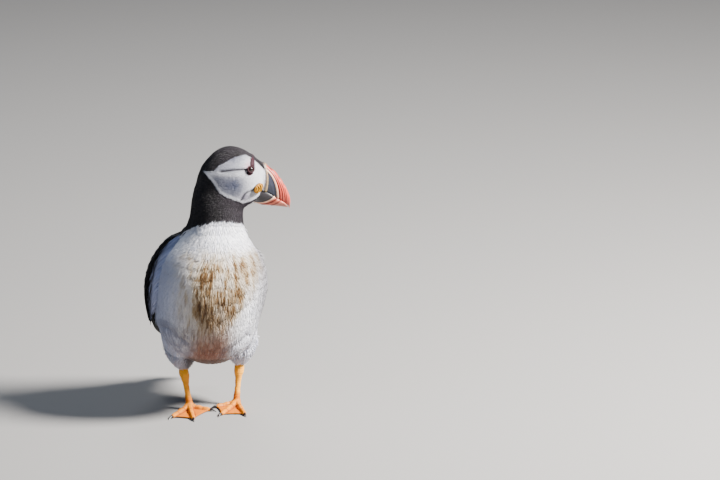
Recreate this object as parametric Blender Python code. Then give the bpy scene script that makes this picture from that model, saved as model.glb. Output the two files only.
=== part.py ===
"""Atlantic puffin, a life-size still figure that stands on both webbed feet.

The bird faces -Y, with its head turned over its left shoulder towards +X. Metres, +Z up, with the
floor at Z = 0. Sizes below are millimetres, and a place is (side, forward, height), with side to the
bird's left. Flesh is modelled whole and parted by thin cuts. Whatever sits in it (bill, eyes, wings,
tail, legs) is seated in a pocket GAP wider than itself, so that no two pieces overlap.
"""

import math

import bmesh
import bpy
from mathutils import Matrix, Vector

MM = 0.001
GAP = 0.32  # clearance between pieces that meet

# Trunk and neck, as level slices from the belly to the top of the neck:
# height, sideways shift, half width, reach of the front, reach of the back.
BODY_SLICES = (
    (46.0, 0.0, 17.0, 14.0, -30.0),
    (53.0, 0.0, 29.0, 26.0, -45.0),
    (62.0, -0.5, 37.6, 36.5, -57.0),
    (72.0, -1.2, 43.0, 44.0, -63.0),
    (86.0, -2.2, 46.6, 51.0, -63.0),
    (101.0, -0.8, 48.8, 55.5, -58.5),
    (116.0, 0.0, 50.3, 57.5, -53.0),
    (130.0, 0.0, 48.8, 56.5, -47.5),
    (142.0, 0.3, 44.3, 52.5, -42.0),
    (152.0, 1.0, 37.4, 46.5, -36.5),
    (161.0, 2.6, 30.2, 39.5, -30.5),
    (170.0, 4.0, 25.8, 31.5, -25.5),
    (178.0, 5.0, 23.8, 27.0, -22.0),
    (188.0, 6.0, 23.6, 25.5, -20.0),
    (199.0, 6.9, 23.8, 24.5, -18.5),
    (208.0, 9.0, 21.6, 20.0, -14.5),
)
BODY_BOTTOM, BODY_TOP = (0.0, -8.0, 44.0), (13.0, 2.0, 213.0)
BODY_FULLNESS = 2.15  # 2 is an ellipse, more is squarer
BODY_POINTS, BODY_STEP = 36, 7.4  # points round a slice, height between slices
NAPE_BAND, NAPE_SMOOTHING = (184.0, 216.0), 4  # heights over which head and neck are blended

# Head, in its own frame: X to the bill, Y to the bird's left, Z up, origin between the eyes.
# Slices across X: place, top, widest level, underside, half width.
HEAD_SLICES = (
    (-47.8, -12.0, -19.5, -28.0, 8.0),
    (-44.0, -4.2, -16.5, -35.0, 13.6),
    (-39.8, 1.2, -14.0, -38.0, 16.6),
    (-34.0, 8.0, -12.0, -40.0, 18.6),
    (-26.0, 13.3, -11.5, -42.0, 20.6),
    (-17.4, 15.1, -12.0, -43.5, 21.4),
    (-9.0, 13.2, -13.0, -42.0, 21.0),
    (-3.0, 10.3, -14.0, -38.6, 19.8),
    (2.0, 7.0, -15.0, -35.6, 17.6),
    (6.0, 3.6, -15.5, -33.8, 14.9),
    (9.3, 0.4, -15.5, -31.0, 11.7),
    (11.6, -3.2, -15.0, -27.0, 8.9),
)
HEAD_BACK = (-49.6, -20.0)  # X, Z
HEAD_FULLNESS = 2.4
HEAD_POINTS, HEAD_STEP = 26, 4.8
HEAD_TURN = 78.0  # degrees from straight ahead towards the bird's left
HEAD_ORIGIN = (34.5, 9.4, 226.6)

# Cuts through the flesh: a point, and the upward normal as a direction (side, forward, height).
THROAT_CUT = ((5.2, 3.2, 193.3), (0.215, 0.046, 0.975))
COLLAR_CUT = ((3.0, 0.0, 169.5), (0.0, -0.26, 0.965))

# Bill, in the head's frame (X, Z) from the face to the tip, with half widths to match.
CULMEN = ((5.0, 3.0), (9.8, 0.6), (14.9, -2.5), (21.3, -8.0), (26.4, -14.8), (30.5, -21.9),
          (33.2, -28.6), (34.3, -34.6), (33.9, -40.6))
MOUTH_UPPER = ((5.0, -22.4), (10.6, -23.4), (15.0, -25.0), (19.4, -27.6), (22.8, -30.2),
               (26.6, -32.5), (30.0, -34.8), (32.2, -37.0), (33.4, -40.0))
UPPER_HALF_WIDTHS = (8.3, 7.9, 7.0, 6.1, 5.2, 4.2, 3.2, 2.2, 0.9)
MOUTH_LOWER = ((-1.0, -22.6), (4.8, -22.9), (10.2, -23.9), (14.8, -25.5), (19.2, -28.1),
               (22.6, -30.7), (26.4, -33.0), (29.8, -35.3), (32.0, -37.5))
GONYS = ((-1.0, -30.0), (3.6, -34.6), (8.6, -36.8), (13.6, -37.5), (18.4, -38.0), (22.4, -38.4),
         (26.2, -38.8), (29.6, -39.3), (32.2, -39.8))
LOWER_HALF_WIDTHS = (8.6, 8.5, 7.8, 6.9, 6.0, 5.0, 4.0, 3.0, 1.4)
BILL_RIDGE_SHARE = 0.20  # width left at the culmen and the gonys
BILL_EDGE_TUCK = 0.16  # how far the cutting edges draw in
BILL_BOW = 2.6  # how far the growth lines bow towards the tip
BILL_STEPS, BILL_SIDE_POINTS = 14, 7
CERE_END, HORN_START = 0.235, 0.255  # shares of the upper bill, whose root is the soft cere
CERE_PROUD = 0.65  # relief of the cere over the horn
ROOT_END = 0.41  # how far along the bill the pocket in the head is shaped

# Pieces let into the face, placed in the head's frame (X, Z) where they meet its surface.
ROSETTE_PLACE, ROSETTE_RADIUS, ROSETTE_DEPTH = (7.3, -19.4), 4.2, 2.0
EYE_PLACE, EYE_RADIUS, EYE_DEPTH = (0.2, -1.6), 2.75, 2.1
RING_RADIUS, RING_THICKNESS = 3.45, 0.6
PLATE_THICKNESS = 1.6
BROW_PLACE, BROW_PLATE = (0.4, 3.6), ((-2.2, -1.0), (2.3, -1.0), (1.0, 2.6), (0.2, 2.6))
CHEEK_PLACE, CHEEK_PLATE = (-0.8, -7.0), ((-3.4, 0.8), (3.2, 0.8), (2.4, -0.8), (-2.6, -0.7))

# Folded wing, stations down its length: the middle of the section, breadth, thickness, the
# direction in which the trailing edge lies, and the inward curl of its edges by breadth.
WING_STATIONS = (
    ((29.5, -15.0, 158.6), 16.0, 2.6, (-0.55, -0.82, 0.10), 0.10),
    ((39.2, -18.0, 147.0), 36.0, 5.2, (-0.52, -0.85, 0.08), 0.16),
    ((46.8, -22.5, 130.8), 50.0, 7.0, (-0.46, -0.88, 0.08), 0.20),
    ((49.8, -26.5, 113.0), 54.0, 7.4, (-0.42, -0.90, 0.12), 0.20),
    ((47.2, -34.0, 96.5), 48.0, 6.8, (-0.43, -0.82, 0.36), 0.18),
    ((40.6, -46.5, 82.0), 38.0, 5.8, (-0.46, -0.68, 0.57), 0.14),
    ((31.6, -61.5, 68.0), 27.0, 4.6, (-0.48, -0.54, 0.69), 0.10),
    ((21.6, -76.0, 53.6), 15.5, 3.0, (-0.50, -0.42, 0.76), 0.06),
    ((15.0, -87.0, 43.6), 5.0, 1.6, (-0.50, -0.38, 0.78), 0.03),
)
WING_TIP_END = (13.2, -90.5, 41.0)
WING_STEPS, WING_POINTS = 16, 6
WING_SHIFT = {"left": (-4.5, -4.5, 0.0), "right": (0.0, 0.0, 0.0)}  # the left one is held closer
PRIMARY_CUT = ((0.0, -47.0, 78.0), (0.0, 0.72, 0.69))

# Tail, a short rounded fan. Stations: forward, height, half width, half thickness.
TAIL_STATIONS = (
    (-46.0, 64.0, 12.0, 5.0),
    (-58.0, 56.5, 15.5, 4.4),
    (-69.5, 48.5, 18.5, 3.4),
    (-80.5, 40.0, 20.5, 2.4),
    (-89.0, 33.0, 19.5, 1.7),
    (-95.0, 28.0, 14.5, 1.2),
    (-97.4, 26.0, 7.0, 0.9),
)
TAIL_STEPS, TAIL_POINTS = 9, 7
TAIL_ARCH = 0.20  # rise of the fan's middle over its edges, by its half width

# Legs by side: the joint over the toes, the ankle, and the top of the feathered shin, then the
# heading of each toe from straight ahead towards the bird's left, in degrees.
LEG_JOINTS = {
    "left": ((25.0, -12.0, 7.5), (28.6, -15.6, 39.0), (26.5, -10.0, 78.0)),
    "right": ((-18.4, -9.5, 7.5), (-22.2, -16.5, 37.5), (-27.5, -8.0, 78.0)),
}
TOE_HEADINGS = {
    "left": {"inner": -78.0, "middle": -35.0, "outer": 2.0},
    "right": {"inner": 60.0, "middle": -4.0, "outer": -39.0},
}
TOE_LENGTHS = {"inner": 19.5, "middle": 33.5, "outer": 31.0}  # to the root of the claw
TOE_ROOT_RADIUS, TOE_TIP_RADIUS, TOE_SINK = 3.1, 1.7, 0.22
TOE_ARCH_HEIGHT = 7.5  # where the shank stands on the roots of the toes
TOE_KNUCKLES, TOE_KNUCKLE_SWELL = 3, 0.12
TOE_STEPS, TOE_POINTS = 8, 8
WEB_LEVEL, WEB_THICKNESS, WEB_NOTCH = 1.15, 1.1, 0.05  # notch: sag of the free edge between toes
CLAW_LENGTH, CLAW_RADIUS, CLAW_DROP = 6.0, 1.35, 1.0
SHANK_RADII = (3.1, 2.6, 2.4, 2.35, 2.5, 3.0, 3.7, 3.8, 3.2)  # evenly up past the ankle's knob
SHIN_RADII = (5.6, 10.2, 13.8, 16.2, 17.8, 18.0, 15.0)  # evenly up from the ankle into the belly
SHIN_DEPTH_SHARE = 1.15  # front to back over side to side
LEG_POINTS = 12

COLOURS = {  # slot: colour, roughness
    "black_plumage": ((0.018, 0.017, 0.020), 0.75),
    "white_plumage": ((0.80, 0.79, 0.77), 0.85),
    "face_plumage": ((0.58, 0.58, 0.60), 0.85),
    "bill_horn": ((0.62, 0.13, 0.05), 0.40),
    "bill_cere": ((0.70, 0.60, 0.42), 0.50),
    "rosette": ((0.80, 0.40, 0.02), 0.50),
    "eye": ((0.03, 0.015, 0.01), 0.08),
    "eye_ring": ((0.45, 0.05, 0.03), 0.50),
    "eye_plate": ((0.16, 0.15, 0.18), 0.50),
    "foot_skin": ((0.85, 0.26, 0.03), 0.55),
    "claw": ((0.02, 0.018, 0.016), 0.35),
}


def spot(place):
    """A (side, forward, height) place in millimetres as a point of the scene in metres."""
    return Vector((place[0], -place[1], place[2])) * MM


def heading(direction):
    return Vector((direction[0], -direction[1], direction[2])).normalized()


def smooth_curve(points):
    """A function through (x, y, z, ...) rows, smooth in x, that gives the other columns."""
    xs = [p[0] for p in points]

    def slope(i, column):
        lower, upper = max(i - 1, 0), min(i + 1, len(points) - 1)
        return (points[upper][column] - points[lower][column]) / (xs[upper] - xs[lower])

    def value(x):
        i = max(0, min(len(xs) - 2, sum(x >= at for at in xs) - 1))
        width = xs[i + 1] - xs[i]
        t = min(1.0, max(0.0, (x - xs[i]) / width))
        ahead, start, leave = t * t * (3 - 2 * t), t * (1 - t) ** 2, -t * t * (1 - t)
        return [
            points[i][c] * (1 - ahead) + points[i + 1][c] * ahead
            + width * (start * slope(i, c) + leave * slope(i + 1, c))
            for c in range(1, len(points[0]))
        ]

    return value


def along(rows):
    """smooth_curve over rows that are spaced evenly from 0 to 1."""
    return smooth_curve([(i / (len(rows) - 1), *row) for i, row in enumerate(rows)])


def power(value, exponent):
    return math.copysign(abs(value) ** exponent, value)


def material(slot):
    """The Principled finish of a slot, made once."""
    found = bpy.data.materials.get(slot)
    if found:
        return found
    made = bpy.data.materials.new(slot)
    made.use_nodes = True
    shader = made.node_tree.nodes["Principled BSDF"]
    colour, roughness = COLOURS[slot]
    shader.inputs["Base Color"].default_value = (*colour, 1.0)
    shader.inputs["Roughness"].default_value = roughness
    return made


def add_object(name, bm, slot, smooth_angle=50.0):
    """Turns a bmesh into a named object with its slot's material, faces outwards."""
    bmesh.ops.recalc_face_normals(bm, faces=bm.faces)
    mesh = bpy.data.meshes.new(name)
    bm.to_mesh(mesh)
    bm.free()
    mesh.shade_smooth()
    mesh.set_sharp_from_angle(angle=math.radians(smooth_angle))
    obj = bpy.data.objects.new(name, mesh)
    obj.data.materials.append(material(slot))
    bpy.context.scene.collection.objects.link(obj)
    return obj


def loft(rings):
    """A bmesh skinned over closed rings of points. A ring of one point closes that end to a tip."""
    bm = bmesh.new()
    loops = [[bm.verts.new(p) for p in ring] for ring in rings]
    for near, far in zip(loops, loops[1:]):
        for i in range(max(len(near), len(far))):
            corners = [near[i % len(near)], near[(i + 1) % len(near)],
                       far[(i + 1) % len(far)], far[i % len(far)]]
            bm.faces.new(list(dict.fromkeys(corners)))
    for end in (loops[0], loops[-1]):
        if len(end) > 2:
            bm.faces.new(end)
    return bm


def put(bm, matrix):
    bmesh.ops.transform(bm, matrix=matrix, verts=bm.verts)
    return bm


def keep_above(bm, point, normal):
    """Cuts a closed bmesh by a plane, keeps the side that the normal points to, and caps it."""
    cut = bmesh.ops.bisect_plane(
        bm, geom=[*bm.verts, *bm.edges, *bm.faces], dist=1e-7,
        plane_co=point, plane_no=normal, clear_inner=True,
    )
    edges = [e for e in cut["geom_cut"] if isinstance(e, bmesh.types.BMEdge)]
    bmesh.ops.holes_fill(bm, edges=edges, sides=0)
    return bm


def keep_below(bm, point, normal):
    """keep_above's other side, GAP lower, so that the two pieces stand clear of each other."""
    return keep_above(bm, point - normal * GAP * MM, -normal)


def apply_boolean(obj, other, operation):
    """Joins other to obj or cuts it away, and bakes the result into obj's mesh."""
    step = obj.modifiers.new(operation.title(), "BOOLEAN")
    step.object, step.operation, step.solver = other, operation, "EXACT"
    bpy.context.view_layer.update()
    graph = bpy.context.evaluated_depsgraph_get()
    baked = bpy.data.meshes.new_from_object(obj.evaluated_get(graph))
    obj.modifiers.clear()
    old, obj.data = obj.data, baked
    bpy.data.meshes.remove(old)


def discard(obj):
    mesh = obj.data
    bpy.data.objects.remove(obj)
    bpy.data.meshes.remove(mesh)


def join(obj, others):
    """Boolean union of the others into obj."""
    for other in others:
        apply_boolean(obj, other, "UNION")
        discard(other)
    return obj


def swollen(guest):
    """A copy of guest, GAP larger all round, to cut its pocket with."""
    bm = bmesh.new()
    bm.from_mesh(guest.data)
    bmesh.ops.remove_doubles(bm, verts=bm.verts, dist=1e-6)
    bm.normal_update()
    for vert, offset in [(v, v.normal * v.calc_shell_factor() * GAP * MM) for v in bm.verts]:
        vert.co += offset
    return add_object("cutter", bm, "claw")


def seat(host, guest):
    """Cuts a pocket for guest into host, GAP wider than guest."""
    cutter = swollen(guest)
    apply_boolean(host, cutter, "DIFFERENCE")
    discard(cutter)


def head_frame():
    """From the head's own frame to the figure's."""
    turn = Matrix.Rotation(math.radians(HEAD_TURN - 90.0), 4, "Z")
    return Matrix.Translation(spot(HEAD_ORIGIN)) @ turn


def body_rings():
    section = smooth_curve(BODY_SLICES)
    low, high = BODY_SLICES[0][0], BODY_SLICES[-1][0]
    steps = round((high - low) / BODY_STEP)
    rings = [[spot(BODY_BOTTOM)]]
    for k in range(steps + 1):
        height = low + (high - low) * k / steps
        shift, half, front, back = section(height)
        middle, depth = (front + back) / 2, (front - back) / 2
        ring = []
        for i in range(BODY_POINTS):
            angle = 2 * math.pi * i / BODY_POINTS
            side = shift + half * power(math.cos(angle), 2 / BODY_FULLNESS)
            forward = middle + depth * power(math.sin(angle), 2 / BODY_FULLNESS)
            ring.append(spot((side, forward, height)))
        rings.append(ring)
    return rings + [[spot(BODY_TOP)]]


def head_rings():
    section = smooth_curve(HEAD_SLICES)
    first, last = HEAD_SLICES[0][0], HEAD_SLICES[-1][0]
    steps = round((last - first) / HEAD_STEP)
    rings = [[Vector((HEAD_BACK[0], 0.0, HEAD_BACK[1])) * MM]]
    for k in range(steps + 1):
        x = first + (last - first) * k / steps
        top, middle, under, half = section(x)
        ring = []
        for i in range(HEAD_POINTS):
            angle = 2 * math.pi * i / HEAD_POINTS
            reach = top - middle if math.sin(angle) > 0 else middle - under
            side = half * power(math.cos(angle), 2 / HEAD_FULLNESS)
            height = middle + reach * power(math.sin(angle), 2 / HEAD_FULLNESS)
            ring.append(Vector((x, side, height)) * MM)
        rings.append(ring)
    return rings


def cheek(x, z):
    """The head's half width over its middle plane at a place of its profile, in millimetres."""
    top, middle, under, half = smooth_curve(HEAD_SLICES)(x)
    reach = top - middle if z > middle else middle - under
    return half * (1 - abs((z - middle) / reach) ** HEAD_FULLNESS) ** (1 / HEAD_FULLNESS)


def face_frame(place, side):
    """A frame on the face's surface: Z out of it, Y up, X towards the bill on both sides."""
    x, z = place
    step = 0.5
    forward = Vector((step, cheek(x + step, z) - cheek(x, z), 0.0))
    upward = Vector((0.0, cheek(x, z + step) - cheek(x, z), step))
    out = upward.cross(forward).normalized()
    up = (upward - out * upward.dot(out)).normalized()
    across = up.cross(out)
    mirror = Matrix.Scale(side, 4, (0.0, 1.0, 0.0))
    local = Matrix((across, up, out)).transposed().to_4x4()
    local.translation = Vector((x, cheek(x, z), z)) * MM
    return head_frame() @ mirror @ local


def blend_nape(mesh):
    """Evens out the crease where the head's form meets the neck's."""
    bm = bmesh.new()
    bm.from_mesh(mesh)
    bmesh.ops.remove_doubles(bm, verts=bm.verts, dist=0.05 * MM)
    low, high = (level * MM for level in NAPE_BAND)
    band = [v for v in bm.verts if low < v.co.z < high]
    for _ in range(NAPE_SMOOTHING):
        bmesh.ops.smooth_vert(bm, verts=band, factor=0.5, use_axis_x=True, use_axis_y=True,
                              use_axis_z=True)
    bm.to_mesh(mesh)
    bm.free()


def flesh():
    """Head, neck and trunk, modelled whole and then parted at the throat and the collar."""
    whole = add_object("whole", loft(body_rings()), "black_plumage")
    join(whole, [add_object("skull", put(loft(head_rings()), head_frame()), "black_plumage")])
    blend_nape(whole.data)
    throat = spot(THROAT_CUT[0]), heading(THROAT_CUT[1])
    collar = spot(COLLAR_CUT[0]), heading(COLLAR_CUT[1])
    cuts = {
        "head": ("face_plumage", lambda bm: keep_above(bm, *throat)),
        "neck": ("black_plumage", lambda bm: keep_above(keep_below(bm, *throat), *collar)),
        "trunk": ("white_plumage", lambda bm: keep_below(bm, *collar)),
    }
    pieces = {}
    for name, (slot, cut) in cuts.items():
        bm = bmesh.new()
        bm.from_mesh(whole.data)
        pieces[name] = add_object(name, cut(bm), slot)
    discard(whole)
    return pieces


def bill_rings(ridge_line, mouth_line, half_widths, span=(0.0, 1.0), steps=BILL_STEPS, proud=0.0):
    """Sections of one half of the bill, from its cutting edge over the ridge and back again."""
    ridge_at, mouth_at = along(ridge_line), along(mouth_line)
    width_at = along([(w,) for w in half_widths])
    rings = []
    for k in range(steps + 1):
        s = span[0] + (span[1] - span[0]) * k / steps
        ridge, mouth, half = Vector(ridge_at(s)), Vector(mouth_at(s)), width_at(s)[0]
        side = []
        for i in range(BILL_SIDE_POINTS):
            v = math.sin(math.pi / 2 * i / (BILL_SIDE_POINTS - 1))
            point = mouth.lerp(ridge, v * (1 + proud / (ridge - mouth).length))
            point.x += BILL_BOW * 4 * v * (1 - v) * math.sin(math.pi * s)
            share = BILL_RIDGE_SHARE + (1 - BILL_RIDGE_SHARE) * math.sqrt(1 - v * v)
            tuck = 1 - BILL_EDGE_TUCK * (1 - v) ** 4
            side.append((point.x, half * share * tuck + proud, point.y))
        ring = [Vector(p) * MM for p in side]
        ring += [Vector((x, -y, z)) * MM for x, y, z in reversed(side)]
        rings.append(ring)
    return rings


def bill(head):
    """Upper and lower horn, and the cere, which is the proud root of the upper one."""
    upper_lines = (CULMEN, MOUTH_UPPER, UPPER_HALF_WIDTHS)
    frame = head_frame()
    root = bill_rings(*upper_lines, (0.0, ROOT_END), 6, CERE_PROUD)
    cutter = add_object("root", put(loft(root), frame), "bill_cere")
    seat(head, cutter)
    discard(cutter)
    lofts = {
        "bill_upper": ("bill_horn", bill_rings(*upper_lines, (HORN_START, 1.0))),
        "bill_cere": ("bill_cere", bill_rings(*upper_lines, (0.0, CERE_END), 5, CERE_PROUD)),
        "bill_lower": ("bill_horn", bill_rings(GONYS, MOUTH_LOWER, LOWER_HALF_WIDTHS)),
    }
    pieces = {name: add_object(name, put(loft(rings), frame), slot)
              for name, (slot, rings) in lofts.items()}
    seat(head, pieces["bill_lower"])


def disc(radius, depth, segments=12, rings=6):
    """A flattened ball about Z."""
    bm = bmesh.new()
    bmesh.ops.create_uvsphere(bm, u_segments=segments, v_segments=rings, radius=radius * MM)
    bmesh.ops.scale(bm, vec=(1.0, 1.0, depth / radius), verts=bm.verts)
    return bm


def ring_round(radius, thickness, segments=14, sides=5):
    """A torus about Z."""
    bm = bmesh.new()
    circle = bmesh.ops.create_circle(bm, segments=sides, radius=thickness * MM)["verts"]
    stand = Matrix.Translation((radius * MM, 0.0, 0.0)) @ Matrix.Rotation(math.pi / 2, 4, "X")
    bmesh.ops.transform(bm, matrix=stand, verts=circle)
    bmesh.ops.spin(bm, geom=[*bm.verts, *bm.edges], axis=(0, 0, 1), cent=(0, 0, 0),
                   angle=math.tau, steps=segments, use_merge=True)
    return bm


def plate(corners):
    """A flat plate of the given outline with softened edges, its middle at Z = 0."""
    bm = bmesh.new()
    level = -PLATE_THICKNESS / 2
    face = bm.faces.new([bm.verts.new(Vector((x, y, level)) * MM) for x, y in corners])
    raised = bmesh.ops.extrude_face_region(bm, geom=[face])["geom"]
    lid = [v for v in raised if isinstance(v, bmesh.types.BMVert)]
    bmesh.ops.translate(bm, vec=(0.0, 0.0, PLATE_THICKNESS * MM), verts=lid)
    bmesh.ops.bevel(bm, geom=bm.edges[:], offset=0.35 * MM, segments=1, affect="EDGES",
                    profile=0.5)
    return bm


def face_pieces(side, sign):
    """Eye, its ring and its two horny plates, and the soft rosette of one side's gape."""
    shapes = {
        "eye": ("eye", disc(EYE_RADIUS, EYE_DEPTH), EYE_PLACE),
        "eye_ring": ("eye_ring", ring_round(RING_RADIUS, RING_THICKNESS), EYE_PLACE),
        "brow_plate": ("eye_plate", plate(BROW_PLATE), BROW_PLACE),
        "cheek_plate": ("eye_plate", plate(CHEEK_PLATE), CHEEK_PLACE),
        "rosette": ("rosette", disc(ROSETTE_RADIUS, ROSETTE_DEPTH), ROSETTE_PLACE),
    }
    return [add_object(f"{name}_{side}", put(bm, face_frame(place, sign)), slot)
            for name, (slot, bm, place) in shapes.items()]


def wing(side, sign):
    """One folded wing, parted where the long hand feathers leave the rest."""
    shift = Vector(WING_SHIFT[side])
    rows = [(*(Vector(place) + shift), breadth, thick, *back, curl)
            for place, breadth, thick, back, curl in WING_STATIONS]
    station = along(rows)
    rings = []
    for k in range(WING_STEPS + 1):
        s = k / WING_STEPS
        row = station(s)
        place, breadth, thick = Vector(row[0:3]), row[3], row[4]
        back, curl = Vector(row[5:8]).normalized(), row[8]
        ahead = Vector(station(min(1.0, s + 0.01))[0:3]) - Vector(station(max(0.0, s - 0.01))[0:3])
        out = back.cross(ahead).normalized()
        out = out if out.x > 0 else -out
        upper, lower = [], []
        for i in range(WING_POINTS + 1):
            v = -math.cos(math.pi * i / WING_POINTS)
            middle = place + back * (v * breadth / 2) - out * (curl * breadth * v * v)
            bulge = out * (thick / 2 * math.sqrt(max(0.0, 1 - v * v)))
            upper.append(middle + bulge)
            lower.append(middle - bulge)
        ring = upper + lower[-2:0:-1]
        rings.append([spot((sign * p.x, p.y, p.z)) for p in ring])
    end = Vector(WING_TIP_END) + shift
    rings.append([spot((sign * end.x, end.y, end.z))])
    cut = spot(PRIMARY_CUT[0]), heading(PRIMARY_CUT[1])
    return [
        add_object(f"wing_{side}", keep_above(loft(rings), *cut), "black_plumage"),
        add_object(f"wing_tip_{side}", keep_below(loft(rings), *cut), "black_plumage"),
    ]


def tail():
    """The tail's fan, arched across."""
    station = along(TAIL_STATIONS)
    rings = []
    for k in range(TAIL_STEPS + 1):
        s = k / TAIL_STEPS
        forward, height, half, thick = station(s)
        ahead, behind = station(min(1.0, s + 0.01)), station(max(0.0, s - 0.01))
        line = Vector((ahead[0] - behind[0], ahead[1] - behind[1])).normalized()
        up = Vector((-line.y, line.x)) if line.x > 0 else Vector((line.y, -line.x))
        upper, lower = [], []
        for i in range(TAIL_POINTS + 1):
            v = -math.cos(math.pi * i / TAIL_POINTS)
            arch, bulge = TAIL_ARCH * half * (1 - v * v), thick * math.sqrt(max(0.0, 1 - v * v))
            for edge, rise in ((upper, arch + bulge), (lower, arch - bulge)):
                edge.append((v * half, forward + up.x * rise, height + up.y * rise))
        rings.append([spot(p) for p in upper + lower[-2:0:-1]])
    return add_object("tail", loft(rings), "black_plumage")


def level_tube(low, high, radii, depth_share=1.0):
    """A tube of level rings between two places, with its radii spaced evenly up it."""
    rings = []
    for k, radius in enumerate(radii):
        middle = Vector(low).lerp(Vector(high), k / (len(radii) - 1))
        ring = []
        for i in range(LEG_POINTS):
            angle = 2 * math.pi * i / LEG_POINTS
            offset = Vector((radius * math.cos(angle), radius * depth_share * math.sin(angle), 0.0))
            ring.append(spot(middle + offset))
        rings.append(ring)
    return rings


def toe_height(t):
    """Height of a toe's middle line over the floor, highest where it leaves the shank."""
    arch = max(0.0, TOE_ARCH_HEIGHT - 2 * TOE_ROOT_RADIUS)
    return toe_radius(t) - TOE_SINK + arch * (1 - min(1.0, t / 0.3)) ** 2


def toe_radius(t):
    knuckle = TOE_KNUCKLE_SWELL * math.sin(math.pi * TOE_KNUCKLES * t) ** 2
    return (TOE_ROOT_RADIUS + (TOE_TIP_RADIUS - TOE_ROOT_RADIUS) * t ** 0.7) * (1 + knuckle)


def toe_rings(root, direction, length):
    """Upright rings along a toe from its root over its joints to its blunt end."""
    across = Vector((direction.y, -direction.x, 0.0))
    rings = []
    for k in range(TOE_STEPS + 1):
        t = k / TOE_STEPS
        middle = Vector((root.x, root.y, toe_height(t))) + direction * (length * t)
        ring = []
        for i in range(TOE_POINTS):
            angle = 2 * math.pi * (i + 0.5) / TOE_POINTS
            offset = across * math.cos(angle) + Vector((0.0, 0.0, math.sin(angle)))
            ring.append(spot(middle + offset * toe_radius(t)))
        rings.append(ring)
    return rings


def web_outline(root, tips):
    """The web's outline: out along the first toe, along the sagging free edges, and home."""
    outline = [root]
    for first, second in zip(tips, tips[1:]):
        for t in (0.0, 0.25, 0.5, 0.75):
            sag = 4 * t * (1 - t) * WEB_NOTCH
            outline.append(first.lerp(second, t).lerp(root, sag))
    return outline + [tips[-1]]


def foot(side):
    """Three toes joined by their web, with flats under them on the floor, and their claws."""
    joint = Vector(LEG_JOINTS[side][0])
    root = Vector((joint.x, joint.y, 0.0))
    directions = {}
    for toe, degrees in TOE_HEADINGS[side].items():
        angle = math.radians(degrees)
        directions[toe] = Vector((math.sin(angle), math.cos(angle), 0.0))
    shapes = [add_object("hub", loft(level_tube((joint.x, joint.y, -TOE_SINK), joint,
                                                (3.4, 3.8, 3.6, SHANK_RADII[0]))), "foot_skin")]
    for toe, direction in directions.items():
        rings = toe_rings(root, direction, TOE_LENGTHS[toe])
        shapes.append(add_object("toe", loft(rings), "foot_skin"))
    tips = [root + d * (TOE_LENGTHS[toe] * 0.97) for toe, d in directions.items()]
    outline = web_outline(root, tips)
    levels = (WEB_LEVEL - WEB_THICKNESS / 2, WEB_LEVEL + WEB_THICKNESS / 2)
    web = [[spot((p.x, p.y, level)) for p in outline] for level in levels]
    shapes.append(add_object("web", loft(web), "foot_skin"))
    whole = join(shapes[0], shapes[1:])
    bm = bmesh.new()
    bm.from_mesh(whole.data)
    discard(whole)
    keep_above(bm, Vector(), Vector((0.0, 0.0, 1.0)))
    keep_below(bm, spot(joint), Vector((0.0, 0.0, 1.0)))
    pieces = [add_object(f"foot_{side}", bm, "foot_skin")]
    for toe, direction in directions.items():
        start = root + direction * (TOE_LENGTHS[toe] + GAP)
        pieces.append(claw(f"claw_{side}_{toe}", start, direction))
    return pieces


def claw(name, start, direction):
    """A curved claw from a toe's blunt end down to the floor."""
    rings = []
    across = Vector((direction.y, -direction.x, 0.0))
    steps = 5
    for k in range(steps + 1):
        t = k / steps
        radius = CLAW_RADIUS * (1 - 0.86 * t)
        rise = CLAW_RADIUS + 0.2 + CLAW_DROP * math.sin(math.pi * t) * (1 - t)
        middle = start + direction * (CLAW_LENGTH * t)
        middle.z = max(radius, rise * (1 - t) + radius * t)
        ring = []
        for i in range(TOE_POINTS):
            angle = 2 * math.pi * (i + 0.5) / TOE_POINTS
            offset = across * math.cos(angle) * 0.8 + Vector((0.0, 0.0, math.sin(angle)))
            ring.append(spot(middle + offset * radius))
        rings.append(ring)
    return add_object(name, loft(rings), "claw")


def leg(side):
    """Bare shank and feathered shin, which meet at the ankle."""
    toes, ankle, top = (Vector(p) for p in LEG_JOINTS[side])
    shank = loft(level_tube(toes, ankle, SHANK_RADII))
    lift = Vector((0.0, 0.0, GAP))
    shin = loft(level_tube(ankle + lift, top, SHIN_RADII, SHIN_DEPTH_SHARE))
    return add_object(f"shank_{side}", shank, "foot_skin"), add_object(
        f"thigh_{side}", shin, "white_plumage")


def centre_on_origin(objects):
    """Moves the whole bird so that the middle of its box stands over the origin, on the floor."""
    bpy.context.view_layer.update()
    corners = [obj.matrix_world @ Vector(c) for obj in objects for c in obj.bound_box]
    middle = [(min(c[i] for c in corners) + max(c[i] for c in corners)) / 2 for i in (0, 1)]
    stand = bpy.data.objects.new("puffin", None)
    bpy.context.scene.collection.objects.link(stand)
    for obj in objects:
        obj.parent = stand
    stand.location = (-middle[0], -middle[1], -min(c[2] for c in corners))


def main():
    for obj in list(bpy.data.objects):
        bpy.data.objects.remove(obj)
    body = flesh()
    head, neck, trunk = body["head"], body["neck"], body["trunk"]
    bill(head)
    fan = tail()
    seat(trunk, fan)
    for side, sign in (("left", 1.0), ("right", -1.0)):
        for piece in face_pieces(side, sign):
            seat(head, piece)
        for piece in wing(side, sign):
            seat(trunk, piece)
            seat(fan, piece)
        _, shin = leg(side)
        seat(trunk, shin)
        foot(side)
    seat(neck, bpy.data.objects["wing_left"])
    seat(neck, bpy.data.objects["wing_right"])
    centre_on_origin([obj for obj in bpy.data.objects if obj.type == "MESH"])


main()
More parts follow.
